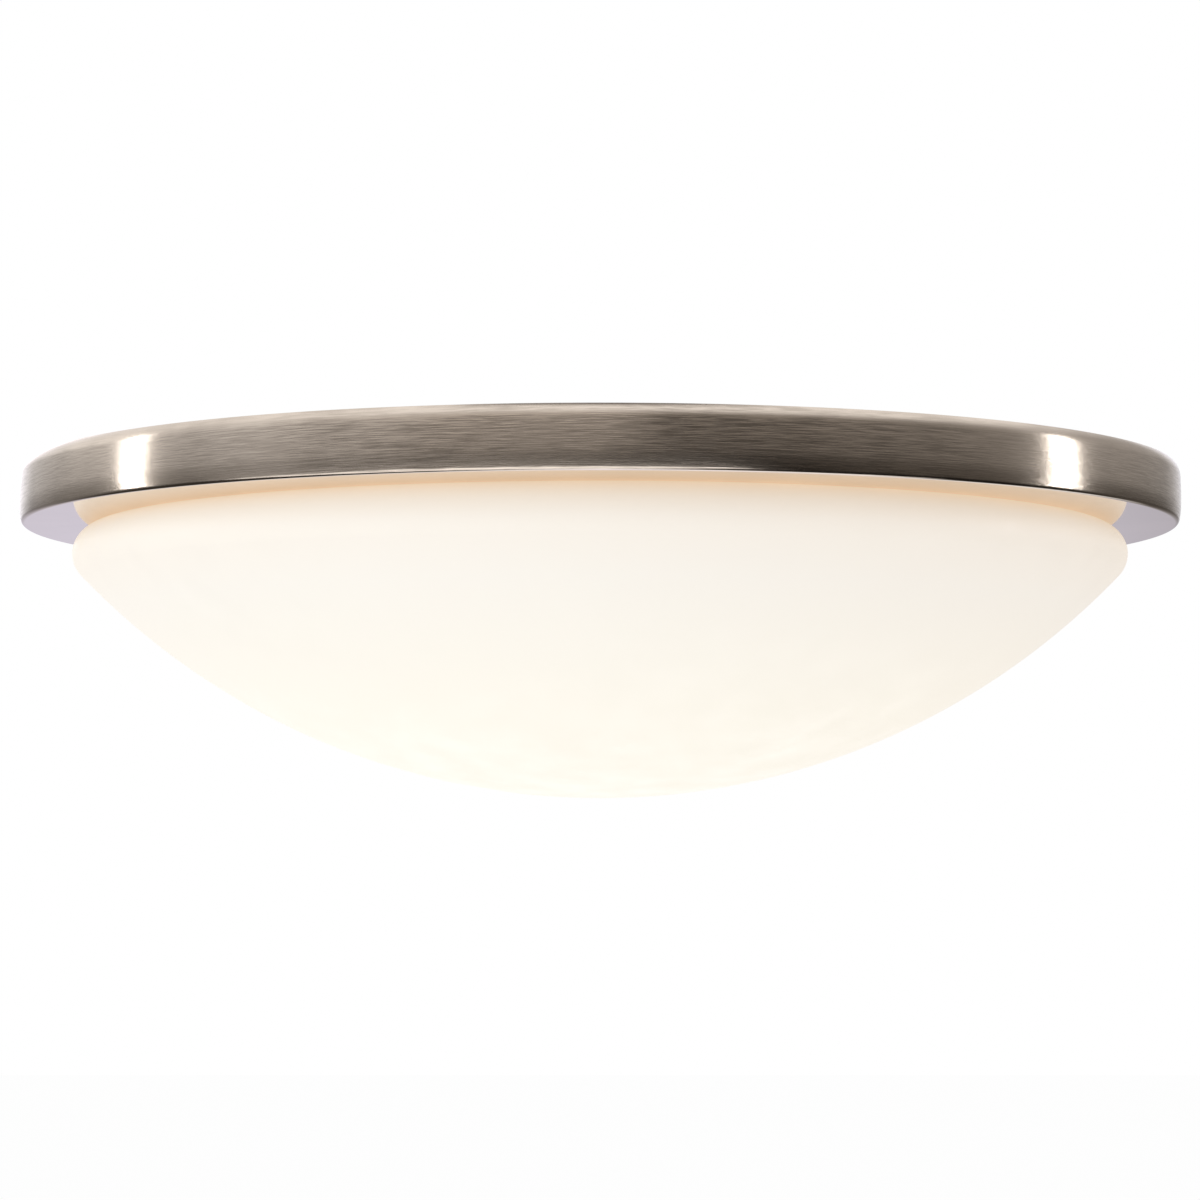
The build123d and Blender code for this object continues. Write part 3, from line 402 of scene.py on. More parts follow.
@dataclass(frozen=True)
class Finish:
    """A surface finish, named for the record's material slot."""

    slot: str
    colour: Colour
    tint: Colour

    def material(self, shop: PatternShop) -> bpy.types.Material:
        """Builds the finish's material.

        Args:
            shop: where shared patterns come from.

        Returns:
            The material.
        """
        made, sheet = blank_material(self.slot)
        made.diffuse_color = (*self.colour, 1.0)
        shader = sheet.node("BsdfPrincipled")
        self.dress(sheet, shader, shop)
        sheet.end("OutputMaterial", shader.outputs[0])
        log.info("finish %s", self.slot)
        return made

    def dress(self, sheet: Sheet, shader: bpy.types.Node, shop: PatternShop) -> None:
        """Feeds the shader from the sheet; each kind of finish does it in its own way."""
        raise NotImplementedError


@dataclass(frozen=True)
class Metal(Finish):
    """Plain metal: rolled, plated, cast or blued."""

    rough_low: float = 0.2
    rough_high: float = 0.35
    grain_scale: float = 900.0
    grain_depth: float = 0.03 * MM
    bump: float = 0.12
    mottle_scale: float = 90.0
    scuffs: float = 0.4
    scuff_shade: float = 0.72
    scuff_roughness: float = 0.15

    def dress(self, sheet: Sheet, shader: bpy.types.Node, shop: PatternShop) -> None:
        """Gives mottled colour, grain in the gloss and a few marks.

        Args:
            sheet: the material's sheet.
            shader: its Principled node.
            shop: where shared patterns come from.
        """
        patches = shop.place(sheet, Pattern.MOTTLE, Scale=self.mottle_scale)["Mask"]
        marks = shop.place(
            sheet, Pattern.SCUFFS, Scale=self.grain_scale / 4, Amount=self.scuffs
        )["Mask"]
        grain = shop.place(
            sheet, Pattern.GRAIN, Scale=self.grain_scale, Low=self.rough_low, High=self.rough_high
        )
        clean = sheet.blend(patches, self.colour, self.tint)
        worn = tuple(channel * self.scuff_shade for channel in self.tint)
        sheet.feed(shader.inputs["Base Color"], sheet.blend(marks, clean, worn))
        duller = sheet.math("MULTIPLY", marks, self.scuff_roughness)
        sheet.feed(shader.inputs["Roughness"], sheet.math("ADD", grain["Roughness"], duller))
        shader.inputs["Metallic"].default_value = 1.0
        sheet.relief(shader, grain["Height"], self.bump, self.grain_depth)


@dataclass(frozen=True)
class Coating(Finish):
    """Enamel, glaze, moulded plastic or insulation."""

    roughness: float = 0.3
    roughness_shares: tuple[float, float] = (0.85, 1.2)
    coat: float = 0.0
    coat_roughness: float = 0.08
    grain_scale: float = 1200.0
    grain_depth: float = 0.05 * MM
    bump: float = 0.15
    mottle_scale: float = 40.0
    scatter: float = 0.0
    scatter_depth: float = 2 * MM

    def dress(self, sheet: Sheet, shader: bpy.types.Node, shop: PatternShop) -> None:
        """Gives slightly uneven colour, a fine grain and a coat where there is one.

        Args:
            sheet: the material's sheet.
            shader: its Principled node.
            shop: where shared patterns come from.
        """
        low, high = (self.roughness * share for share in self.roughness_shares)
        patches = shop.place(sheet, Pattern.MOTTLE, Scale=self.mottle_scale)["Mask"]
        grain = shop.place(sheet, Pattern.GRAIN, Scale=self.grain_scale, Low=low, High=high)
        sheet.feed(shader.inputs["Base Color"], sheet.blend(patches, self.colour, self.tint))
        sheet.feed(shader.inputs["Roughness"], grain["Roughness"])
        shader.inputs["Coat Weight"].default_value = self.coat
        shader.inputs["Coat Roughness"].default_value = self.coat_roughness
        shader.inputs["Subsurface Weight"].default_value = self.scatter
        shader.inputs["Subsurface Scale"].default_value = self.scatter_depth
        sheet.relief(shader, grain["Height"], self.bump, self.grain_depth)


@dataclass(frozen=True)
class Wool(Finish):
    """Pressed glass wool: matted fibres with a rough nap."""

    fibre_scale: float = 700.0
    fibre_shape: tuple[float, float, float] = (1.0, 14.0, 2.0)
    lie: tuple[float, ...] = (10.0, 55.0, 100.0, 145.0)
    fibre_shades: tuple[float, float] = (0.5, 0.75)
    patch_scale: float = 70.0
    patch_contrast: float = 1.4
    roughness: float = 0.95
    sheen: float = 0.3
    nap: float = 0.8
    nap_depth: float = 0.6 * MM

    def dress(self, sheet: Sheet, shader: bpy.types.Node, shop: PatternShop) -> None:
        """Lays fibres in several directions, in colour and in relief.

        Args:
            sheet: the material's sheet.
            shader: its Principled node.
            shop: where shared patterns come from.
        """
        fibres: Feed = 0.0
        place = sheet.place()
        stretch = tuple(self.fibre_scale / share for share in self.fibre_shape)
        about_z = {"rotation_type": "Z_AXIS"}
        for angle in self.lie:
            turned = sheet.node("VectorRotate", about_z, Vector=place, Angle=math.radians(angle))
            scaled = sheet.times(turned.outputs[0], stretch)
            strands = sheet.node("TexNoise", Vector=scaled, Scale=1.0, Detail=3.0, Distortion=1.5)
            fibres = sheet.math("MAXIMUM", fibres, strands.outputs[0])
        patches = shop.place(
            sheet, Pattern.MOTTLE, Scale=self.patch_scale, Contrast=self.patch_contrast
        )["Mask"]
        mask = sheet.math("MULTIPLY", sheet.spread(fibres, 0.0, 1.0, *self.fibre_shades), patches)
        sheet.feed(shader.inputs["Base Color"], sheet.blend(mask, self.colour, self.tint))
        shader.inputs["Roughness"].default_value = self.roughness
        shader.inputs["Sheen Weight"].default_value = self.sheen
        sheet.relief(shader, fibres, self.nap, self.nap_depth)


@dataclass(frozen=True)
class BrushedNickel(Finish):
    """Nickel plate with brush lines round the band, and a smooth flat underside.

    The lines' contrast in the colour is strongest at the front, as painted glints where their
    reflections show most, and weaker towards the back; the lines fade over the shoulder.
    """

    underside: float = -18.6 * MM
    underside_blend: float = 0.8 * MM
    # painted reflection: the underside's lighter tone brightens the glass glow seen in it
    underside_reflection_tone: float = 0.36
    underside_roughness: float = 0.07
    band_tone: float = 0.5
    band_roughness: tuple[float, float] = (0.17, 0.26)
    # painted glints: the lines' colour contrast is full at the front and lowered at the sides
    front: tuple[float, float] = (-188 * MM, -150 * MM)
    side_glint_contrast: float = 0.3
    shoulder: tuple[float, float] = (-4.5 * MM, -2.5 * MM)
    shoulder_depth: float = 0.3
    line_shares: tuple[float, float] = (0.9, 0.1)
    line_span: tuple[float, float] = (0.39, 0.61)
    broken_share: float = 0.6
    relief_depth: float = 0.025 * MM
    cloud_scale: float = 35.0
    cloud_share: float = 0.4
    cloud_shade: float = 0.96
    anisotropy: float = 0.85
    anisotropy_turn: float = 0.25

    def dress(self, sheet: Sheet, shader: bpy.types.Node, shop: PatternShop) -> None:
        """Draws the lines in the colour, gloss and relief of the band, not on the underside.

        Args:
            sheet: the material's sheet.
            shader: its Principled node.
            shop: where shared patterns come from.
        """
        _, ahead, height = sheet.axes()
        rise = (self.underside, self.underside + self.underside_blend)
        band = sheet.spread(height, 0.0, 1.0, *rise)
        flat = sheet.spread(height, 1.0, self.shoulder_depth, *self.shoulder)
        # painted glints: the lines' colour contrast is raised at the front, where their reflections
        # show most
        depth = sheet.math("MULTIPLY", sheet.spread(ahead, 1.0, self.side_glint_contrast, *self.front), flat)
        fine = shop.place(sheet, Pattern.TURNED_LINES, Across=3300.0, Along=90.0, Detail=2.0)
        broken = shop.place(sheet, Pattern.TURNED_LINES, Across=4200.0, Along=300.0, Detail=1.0)
        line_share, streak_share = self.line_shares
        streaks = sheet.math("MULTIPLY", fine["Streaks"], streak_share)
        lines = sheet.math("MULTIPLY_ADD", fine["Lines"], line_share, streaks)

        tone = sheet.spread(lines, -0.5, 0.5, *self.line_span)
        # painted reflection: the underside's base colour is lighter than the band's, brightening
        # the glass glow seen in it
        level = sheet.spread(band, self.underside_reflection_tone, self.band_tone)
        tone = sheet.math("MULTIPLY_ADD", tone, sheet.math("MULTIPLY", depth, band), level)
        shade = sheet.blend(tone, self.colour, self.tint)
        patches = shop.place(sheet, Pattern.MOTTLE, Scale=self.cloud_scale)["Mask"]
        cloud = sheet.math("MULTIPLY", patches, self.cloud_share)
        deep = tuple(channel * self.cloud_shade for channel in self.colour)
        sheet.feed(shader.inputs["Base Color"], sheet.blend(cloud, shade, deep))

        smooth = self.underside_roughness
        rough = sheet.spread(lines, *self.band_roughness, *NOISE_SPAN)
        gap = sheet.math("SUBTRACT", rough, smooth)
        sheet.feed(shader.inputs["Roughness"], sheet.math("MULTIPLY_ADD", gap, band, smooth))
        shader.inputs["Metallic"].default_value = 1.0
        shader.inputs["Anisotropic"].default_value = self.anisotropy
        shader.inputs["Anisotropic Rotation"].default_value = self.anisotropy_turn
        round_axis = sheet.node("Tangent", {"direction_type": "RADIAL", "axis": "Z"})
        sheet.feed(shader.inputs["Tangent"], round_axis.outputs[0])

        mixed = sheet.math("MULTIPLY_ADD", broken["Lines"], self.broken_share, fine["Lines"])
        relief = sheet.math("MULTIPLY", mixed, sheet.math("MULTIPLY", band, flat))
        sheet.relief(shader, relief, 1.0, self.relief_depth)


@dataclass(frozen=True)
class LitOpal(Finish):
    """Opal glass with the lamps on behind it, their light through the glass painted as a glow:
    painted shade makes it dimmer and warmer at the rim, and it is whiter down the dome.
    """

    top: float = -19.0 * MM
    depth: float = 88.0 * MM
    glow: float = 0.68
    steps: tuple[tuple[float, Colour], ...] = (
        (0.0, (0.86, 0.66, 0.46)),
        (0.06, (0.88, 0.75, 0.61)),
        (0.12, (0.91, 0.81, 0.7)),
        (0.3, (0.92, 0.85, 0.76)),
        (0.7, (0.98, 0.91, 0.78)),
        (1.0, (1.0, 0.94, 0.8)),
    )
    cloud_scale: float = 18.0
    cloud_contrast: float = 0.5
    cloud_share: float = 0.06
    roughness: float = 0.5
    roughness_shares: tuple[float, float] = (0.8, 1.3)
    specular: float = 0.35
    ior: float = 1.5
    grain_scale: float = 60.0
    bump: float = 0.02
    bump_depth: float = 0.05 * MM

    def dress(self, sheet: Sheet, shader: bpy.types.Node, shop: PatternShop) -> None:
        """Paints the lamps' light through the glass as a glow that changes down the glass, under a
        clear gloss.

        Args:
            sheet: the material's sheet.
            shader: its Principled node.
            shop: where shared patterns come from.
        """
        # painted light: the emission stands in for the lamps' light through the glass, with painted
        # shade darkening and warming it towards the rim
        down = sheet.spread(sheet.axes()[2], 0.0, 1.0, self.top, self.top - self.depth)
        light = sheet.ramp(down, self.steps)
        patches = shop.place(
            sheet, Pattern.MOTTLE, Scale=self.cloud_scale, Contrast=self.cloud_contrast
        )["Mask"]
        cloud = sheet.math("MULTIPLY", patches, self.cloud_share)
        sheet.feed(shader.inputs["Base Color"], self.colour)
        sheet.feed(shader.inputs["Emission Color"], sheet.blend(cloud, light, self.tint))
        shader.inputs["Emission Strength"].default_value = self.glow
        shader.inputs["Specular IOR Level"].default_value = self.specular
        shader.inputs["IOR"].default_value = self.ior
        low, high = (self.roughness * share for share in self.roughness_shares)
        grain = shop.place(sheet, Pattern.GRAIN, Scale=self.grain_scale, Low=low, High=high)
        sheet.feed(shader.inputs["Roughness"], grain["Roughness"])
        sheet.relief(shader, grain["Height"], self.bump, self.bump_depth)


@dataclass(frozen=True)
class LitGlobe(Finish):
    """Frosted plastic globe of a lamp that is on."""

    glow: float = 0.72
    cloud_scale: float = 50.0
    cloud_contrast: float = 0.6
    grain_scale: float = 2500.0
    roughness: tuple[float, float] = (0.45, 0.6)
    bump: float = 0.1
    bump_depth: float = 0.03 * MM

    def dress(self, sheet: Sheet, shader: bpy.types.Node, shop: PatternShop) -> None:
        """Gives an even glow with a faint unevenness of the frosting.

        Args:
            sheet: the material's sheet.
            shader: its Principled node.
            shop: where shared patterns come from.
        """
        patches = shop.place(
            sheet, Pattern.MOTTLE, Scale=self.cloud_scale, Contrast=self.cloud_contrast
        )["Mask"]
        shade = sheet.blend(patches, self.colour, self.tint)
        sheet.feed(shader.inputs["Base Color"], shade)
        sheet.feed(shader.inputs["Emission Color"], shade)
        shader.inputs["Emission Strength"].default_value = self.glow
        low, high = self.roughness
        grain = shop.place(sheet, Pattern.GRAIN, Scale=self.grain_scale, Low=low, High=high)
        sheet.feed(shader.inputs["Roughness"], grain["Roughness"])
        sheet.relief(shader, grain["Height"], self.bump, self.bump_depth)


FINISHES: tuple[Finish, ...] = (
    BrushedNickel("brushed_nickel", (0.95, 0.83, 0.72), (0.32, 0.27, 0.225)),
    Coating("white_enamel", (0.86, 0.86, 0.84), (0.82, 0.82, 0.8), coat=0.6, grain_scale=500.0),
    Metal(
        "zinc_steel", (0.66, 0.68, 0.71), (0.6, 0.62, 0.65), rough_high=0.3, mottle_scale=170.0,
        bump=0.1,
    ),
    Metal("green_steel", (0.1, 0.4, 0.17), (0.16, 0.46, 0.2), rough_low=0.25, rough_high=0.4),
    Wool("glass_wool", (0.72, 0.66, 0.47), (0.88, 0.83, 0.66)),
    Coating(
        "porcelain", (0.87, 0.86, 0.82), (0.82, 0.81, 0.76), roughness=0.25, coat=1.0,
        coat_roughness=0.04, bump=0.05,
    ),
    Metal("brass", (0.82, 0.6, 0.28), (0.7, 0.5, 0.24)),
    Metal("bronze", (0.72, 0.46, 0.26), (0.62, 0.38, 0.22)),
    Metal("nickel_cap", (0.74, 0.72, 0.67), (0.66, 0.64, 0.6), rough_low=0.12, rough_high=0.24),
    Coating(
        "black_glass", (0.02, 0.02, 0.022), (0.03, 0.03, 0.03), roughness=0.08, coat=0.5, bump=0.02
    ),
    Metal(
        "solder", (0.62, 0.62, 0.62), (0.5, 0.5, 0.5), rough_low=0.3, rough_high=0.5,
        mottle_scale=700.0, bump=0.5,
    ),
    Coating(
        "white_plastic", (0.86, 0.86, 0.84), (0.82, 0.82, 0.8), roughness=0.35, bump=0.2,
        grain_scale=2500.0,
    ),
    LitGlobe("frosted_globe", (0.62, 0.575, 0.49), (0.58, 0.53, 0.44)),
    Coating("nylon", (0.82, 0.8, 0.72), (0.78, 0.75, 0.66), roughness=0.4, scatter=0.2),
    Coating("bushing_plastic", (0.02, 0.02, 0.02), (0.035, 0.035, 0.035), roughness=0.45),
    Coating("black_insulation", (0.018, 0.018, 0.02), (0.03, 0.03, 0.03), roughness=0.4),
    Coating("white_insulation", (0.84, 0.84, 0.8), (0.78, 0.78, 0.74), roughness=0.4),
    Coating("green_insulation", (0.05, 0.34, 0.12), (0.07, 0.4, 0.15), roughness=0.4),
    # opal glass: its emission is painted light from the lamps inside, and its grey base colour
    # leaves room for that glow
    LitOpal("opal_glass", (0.5, 0.48, 0.45), (1.0, 0.97, 0.9)),
    Metal("spring_steel", (0.42, 0.43, 0.47), (0.34, 0.35, 0.4), rough_low=0.25, rough_high=0.38),
    Coating("acetal", (0.88, 0.88, 0.85), (0.84, 0.84, 0.8), scatter=0.1),
)


# ----------------------------------------------------------------------------
# Spun shells
# ----------------------------------------------------------------------------


def arc(centre: Point, radius: float, start: float, end: float, steps: int) -> list[Point]:
    """Points along a circle's arc.

    Args:
        centre: radius and height of the circle's centre.
        radius: of the circle.
        start: the first angle, in degrees.
        end: the last angle, in degrees.
        steps: how many chords the arc has.

    Returns:
        The points, the two ends included.
    """
    turns = (math.radians(start + (end - start) * i / steps) for i in range(steps + 1))
    return [(centre[0] + radius * math.cos(t), centre[1] + radius * math.sin(t)) for t in turns]


def turn(
    mesh: bmesh.types.BMesh, outline: list[Point], closed: bool = True, steps: int = ROUND_STEPS
) -> None:
    """Turns an outline about the light's axis.

    Args:
        mesh: the bmesh that takes the faces.
        outline: (radius, height) points; a radius of 0 lies on the axis.
        closed: the outline's last point joins its first.
        steps: how many columns of faces go round.
    """
    corners = [mesh.verts.new((radius, 0.0, height)) for radius, height in outline]
    rim = [mesh.edges.new(pair) for pair in zip(corners, corners[1:])]
    if closed:
        rim.append(mesh.edges.new((corners[-1], corners[0])))
    bmesh.ops.spin(
        mesh, geom=corners + rim, cent=(0, 0, 0), axis=(0, 0, 1), angle=math.tau, steps=steps,
        use_merge=True,
    )


def ring_edges(
    mesh: bmesh.types.BMesh, place: Vector, radius: float, steps: int
) -> list[bmesh.types.BMEdge]:
    """Adds a level circle of edges.

    Args:
        mesh: the bmesh that takes it.
        place: its centre.
        radius: of the circle.
        steps: how many edges it has.

    Returns:
        Its edges.
    """
    spot = Matrix.Translation(place)
    made = bmesh.ops.create_circle(mesh, segments=steps, radius=radius, matrix=spot)
    return list({edge for vert in made["verts"] for edge in vert.link_edges})


def hung(name: str, mesh: bmesh.types.BMesh) -> bpy.types.Object:
    """Puts a bmesh in the scene as an object at the origin.

    Args:
        name: of the object.
        mesh: its bmesh, which is freed.

    Returns:
        The object.
    """
    data = bpy.data.meshes.new(name)
    mesh.to_mesh(data)
    mesh.free()
    piece = bpy.data.objects.new(name, data)
    bpy.context.scene.collection.objects.link(piece)
    return piece


def placed(name: str, mesh: bmesh.types.BMesh, sharp: float = 40.0) -> bpy.types.Object:
    """Makes a piece of the light from a finished bmesh.

    Args:
        name: of the piece.
        mesh: its bmesh, which is freed.
        sharp: edges that turn by more degrees than this stay sharp.

    Returns:
        The piece, at the origin.
    """
    bmesh.ops.remove_doubles(mesh, verts=mesh.verts, dist=MERGE_DISTANCE)
    bmesh.ops.recalc_face_normals(mesh, faces=mesh.faces)
    piece = hung(name, mesh)
    piece.data.shade_smooth()
    piece.data.set_sharp_from_angle(angle=math.radians(sharp))
    even = piece.modifiers.new("even_normals", "WEIGHTED_NORMAL")
    even.weight = 100
    even.keep_sharp = True
    return piece


@dataclass
class Palette:
    """Every finish as a material, by its slot's name."""

    materials: dict[str, bpy.types.Material]

    @classmethod
    def mixed(cls) -> "Palette":
        """Builds all the finishes."""
        shop = PatternShop()
        return cls({finish.slot: finish.material(shop) for finish in FINISHES})

    def paint(self, piece: bpy.types.Object, slot: str) -> None:
        """Gives a new piece the finish of the record's slot."""
        piece.data.materials.append(self.materials[slot])

    def paint_frame(self) -> None:
        """Gives every carried-over node the finish of its slot."""
        for part in frame["record"]["subparts"]:
            node = frame["nodes"][part["node"]]
            for slot in node.material_slots:
                slot.material = self.materials[part["material_slot"]]
            log.info("node %s in %s", part["node"], part["material_slot"])


@dataclass
class TrimRing:
    """The nickel ring: rolled top, slightly barrelled band, rounded foot and flat underside.

    turns are the angles at which the outside's arcs meet, in degrees from level outwards.
    """

    palette: Palette
    wall: float = 1.0 * MM
    shoulder_radius: float = 5.6 * MM
    haunch_radius: float = 26.0 * MM
    foot_radius: float = 1.45 * MM
    turns: tuple[float, ...] = (45.0, 2.2, -1.2, -12.0, -90.0)
    arc_steps: int = 12
    flange_width: float = 12.0 * MM
    hem_height: float = 3.0 * MM
    opening_radius: float = 152.0 * MM
    rivet_circle_radius: float = 182.1 * MM
    rivet_count: int = 6
    rivet_sink: tuple[float, float] = (2.95 * MM, 1.65 * MM)
    rivet_steps: int = 40

    def bends(self, height: float) -> list[tuple[float, float, float]]:
        """The outside's arcs from top to bottom, with the belly filling the height.

        Args:
            height: of the ring.

        Returns:
            Each arc's radius, and the angles where it starts and ends.
        """
        drops = [math.sin(math.radians(lean)) for lean in self.turns]
        radii = [self.shoulder_radius, 0.0, self.haunch_radius, self.foot_radius]
        taken = sum(radius * (start - end) for radius, start, end in zip(radii, drops, drops[1:]))
        radii[1] = (height - taken) / (drops[1] - drops[2])
        return list(zip(radii, self.turns, self.turns[1:]))

    def skins(self, radius: float, height: float) -> tuple[list[Point], list[Point]]:
        """The outside and the inside of the wall, from the top to the bottom.

        Args:
            radius: of the ring at its widest.
            height: of the ring.

        Returns:
            The two lines of points.
        """
        outside: list[Point] = [(0.0, 0.0)]
        inside: list[Point] = []
        for bend, start, end in self.bends(height):
            lean = math.radians(start)
            across, up = outside[-1]
            centre = (across - bend * math.cos(lean), up - bend * math.sin(lean))
            outside += arc(centre, bend, start, end, self.arc_steps)[1:]
            inner = bend - self.wall
            if inside:
                inside += arc(centre, inner, start, end, self.arc_steps)[1:]
            else:
                sill = math.degrees(math.asin(-(centre[1] + self.wall) / inner))
                inside = arc(centre, inner, sill, end, self.arc_steps)
        shift = radius - max(across for across, _ in outside)
        return tuple([(across + shift, up) for across, up in line] for line in (outside, inside))

    def outline(self) -> list[Point]:
        """The ring's section, from the flange's top round the outside to its underside.

        Returns:
            The points of the open section.
        """
        low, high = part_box("trim_ring")
        height = high.z - low.z
        outside, inside = self.skins(high.x, height)
        hem = self.opening_radius + self.wall
        roll = self.wall / 4
        lip = [
            (self.opening_radius + roll, -height),
            (self.opening_radius, roll - height),
            (self.opening_radius, self.hem_height - height),
            (hem, self.hem_height - height),
            (hem, self.wall - height),
        ]
        return outside + lip + inside[::-1]

    def flange(self, mesh: bmesh.types.BMesh, outline: list[Point]) -> None:
        """Closes the section with the flange and its countersunk rivet holes.

        Args:
            mesh: the ring's bmesh.
            outline: the ring's section.
        """
        inner_radius = outline[0][0] - self.flange_width
        open_edges = [edge for edge in mesh.edges if edge.is_boundary]
        walls: list[list[bmesh.types.BMEdge]] = [[] for _ in range(self.rivet_count + 1)]
        for height, sink in zip((0.0, -self.wall), self.rivet_sink):
            near = self.wall / 10
            level = [edge for edge in open_edges if abs(edge.verts[0].co.z - height) < near]
            middle = Vector((0, 0, height))
            rounds = [ring_edges(mesh, middle, inner_radius, ROUND_STEPS)]
            for index in range(self.rivet_count):
                angle = math.tau * index / self.rivet_count
                out = Vector((math.cos(angle), math.sin(angle), 0.0)) * self.rivet_circle_radius
                rounds.append(ring_edges(mesh, out + middle, sink, self.rivet_steps))
            for wall, edges in zip(walls, rounds):
                wall.extend(edges)
            loops = level + [edge for edges in rounds for edge in edges]
            bmesh.ops.triangle_fill(mesh, use_beauty=True, edges=loops, normal=(0, 0, 1))
        for wall in walls:
            bmesh.ops.bridge_loops(mesh, edges=wall)

    def build(self) -> bpy.types.Object:
        """Turns the ring and fixes it to the light.

        Returns:
            The ring.
        """
        mesh = bmesh.new()
        outline = self.outline()
        turn(mesh, outline, closed=False)
        bmesh.ops.remove_doubles(mesh, verts=mesh.verts, dist=MERGE_DISTANCE)
        self.flange(mesh, outline)
        ring = placed("nickel_ring", mesh)
        self.palette.paint(ring, "brushed_nickel")
        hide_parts("trim_ring")
        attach(ring, "root")
        return ring


@dataclass
class GlassBowl:
    """The opal glass bowl: shallow dome, rounded shoulder and inward lip."""

    palette: Palette
    wall: float = 3.5 * MM
    shoulder_radius: float = 9.1 * MM
    mouth_radius: float = 156.0 * MM
    dome_steps: tuple[int, int] = (60, 48)
    shoulder_steps: tuple[int, int] = (20, 12)
    lip_steps: int = 12

    def outline(self) -> list[Point]:
        """The bowl's section, from the bottom of the dome outside to the bottom inside.

        Returns:
            The points of the closed section.
        """
        low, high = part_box("glass_bowl")
        round_off = self.shoulder_radius
        shoulder = (high.x - round_off, high.z - round_off)
        depth = shoulder[1] - low.z
        dome_radius = (shoulder[0] ** 2 + depth**2 - round_off**2) / (2 * (depth - round_off))
        dome = (0.0, low.z + dome_radius)
        edge = math.degrees(math.atan2(shoulder[1] - dome[1], shoulder[0]))
        lip = (self.mouth_radius + self.wall / 2, high.z - self.wall / 2)
        outside = arc(dome, dome_radius, -90, edge, self.dome_steps[0])
        outside += arc(shoulder, round_off, edge, 90, self.shoulder_steps[0])[1:]
        roll = arc(lip, self.wall / 2, 90, 270, self.lip_steps)
        inside = arc(shoulder, round_off - self.wall, 90, edge, self.shoulder_steps[1])
        inside += arc(dome, dome_radius - self.wall, edge, -90, self.dome_steps[1])[1:]
        return outside + roll + inside

    def build(self) -> bpy.types.Object:
        """Turns the bowl and lets it drop with its joint.

        Returns:
            The bowl.
        """
        mesh = bmesh.new()
        turn(mesh, self.outline())
        bowl = placed("opal_bowl", mesh)
        self.palette.paint(bowl, "opal_glass")
        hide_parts("glass_bowl")
        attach(bowl, "bowl")
        return bowl


# ----------------------------------------------------------------------------
# Studio
# ----------------------------------------------------------------------------


@dataclass(frozen=True)
class Softbox:
    """A rectangular light that looks at the ceiling light; power is in watts."""

    name: str
    place: tuple[float, float, float]
    size: tuple[float, float]
    power: float
    colour: Colour = WHITE
    mirrored: bool = False

    def hang(self) -> None:
        """Hangs the light; only a mirrored one is seen in metal and glass."""
        data = bpy.data.lights.new(self.name, "AREA")
        data.shape = "RECTANGLE"
        data.size, data.size_y = self.size
        data.energy = self.power
        data.color = self.colour
        box = bpy.data.objects.new(self.name, data)
        box.location = self.place
        box.rotation_euler = Vector(self.place).to_track_quat("Z", "Y").to_euler()
        box.visible_camera = False
        box.visible_glossy = self.mirrored
        bpy.context.scene.collection.objects.link(box)


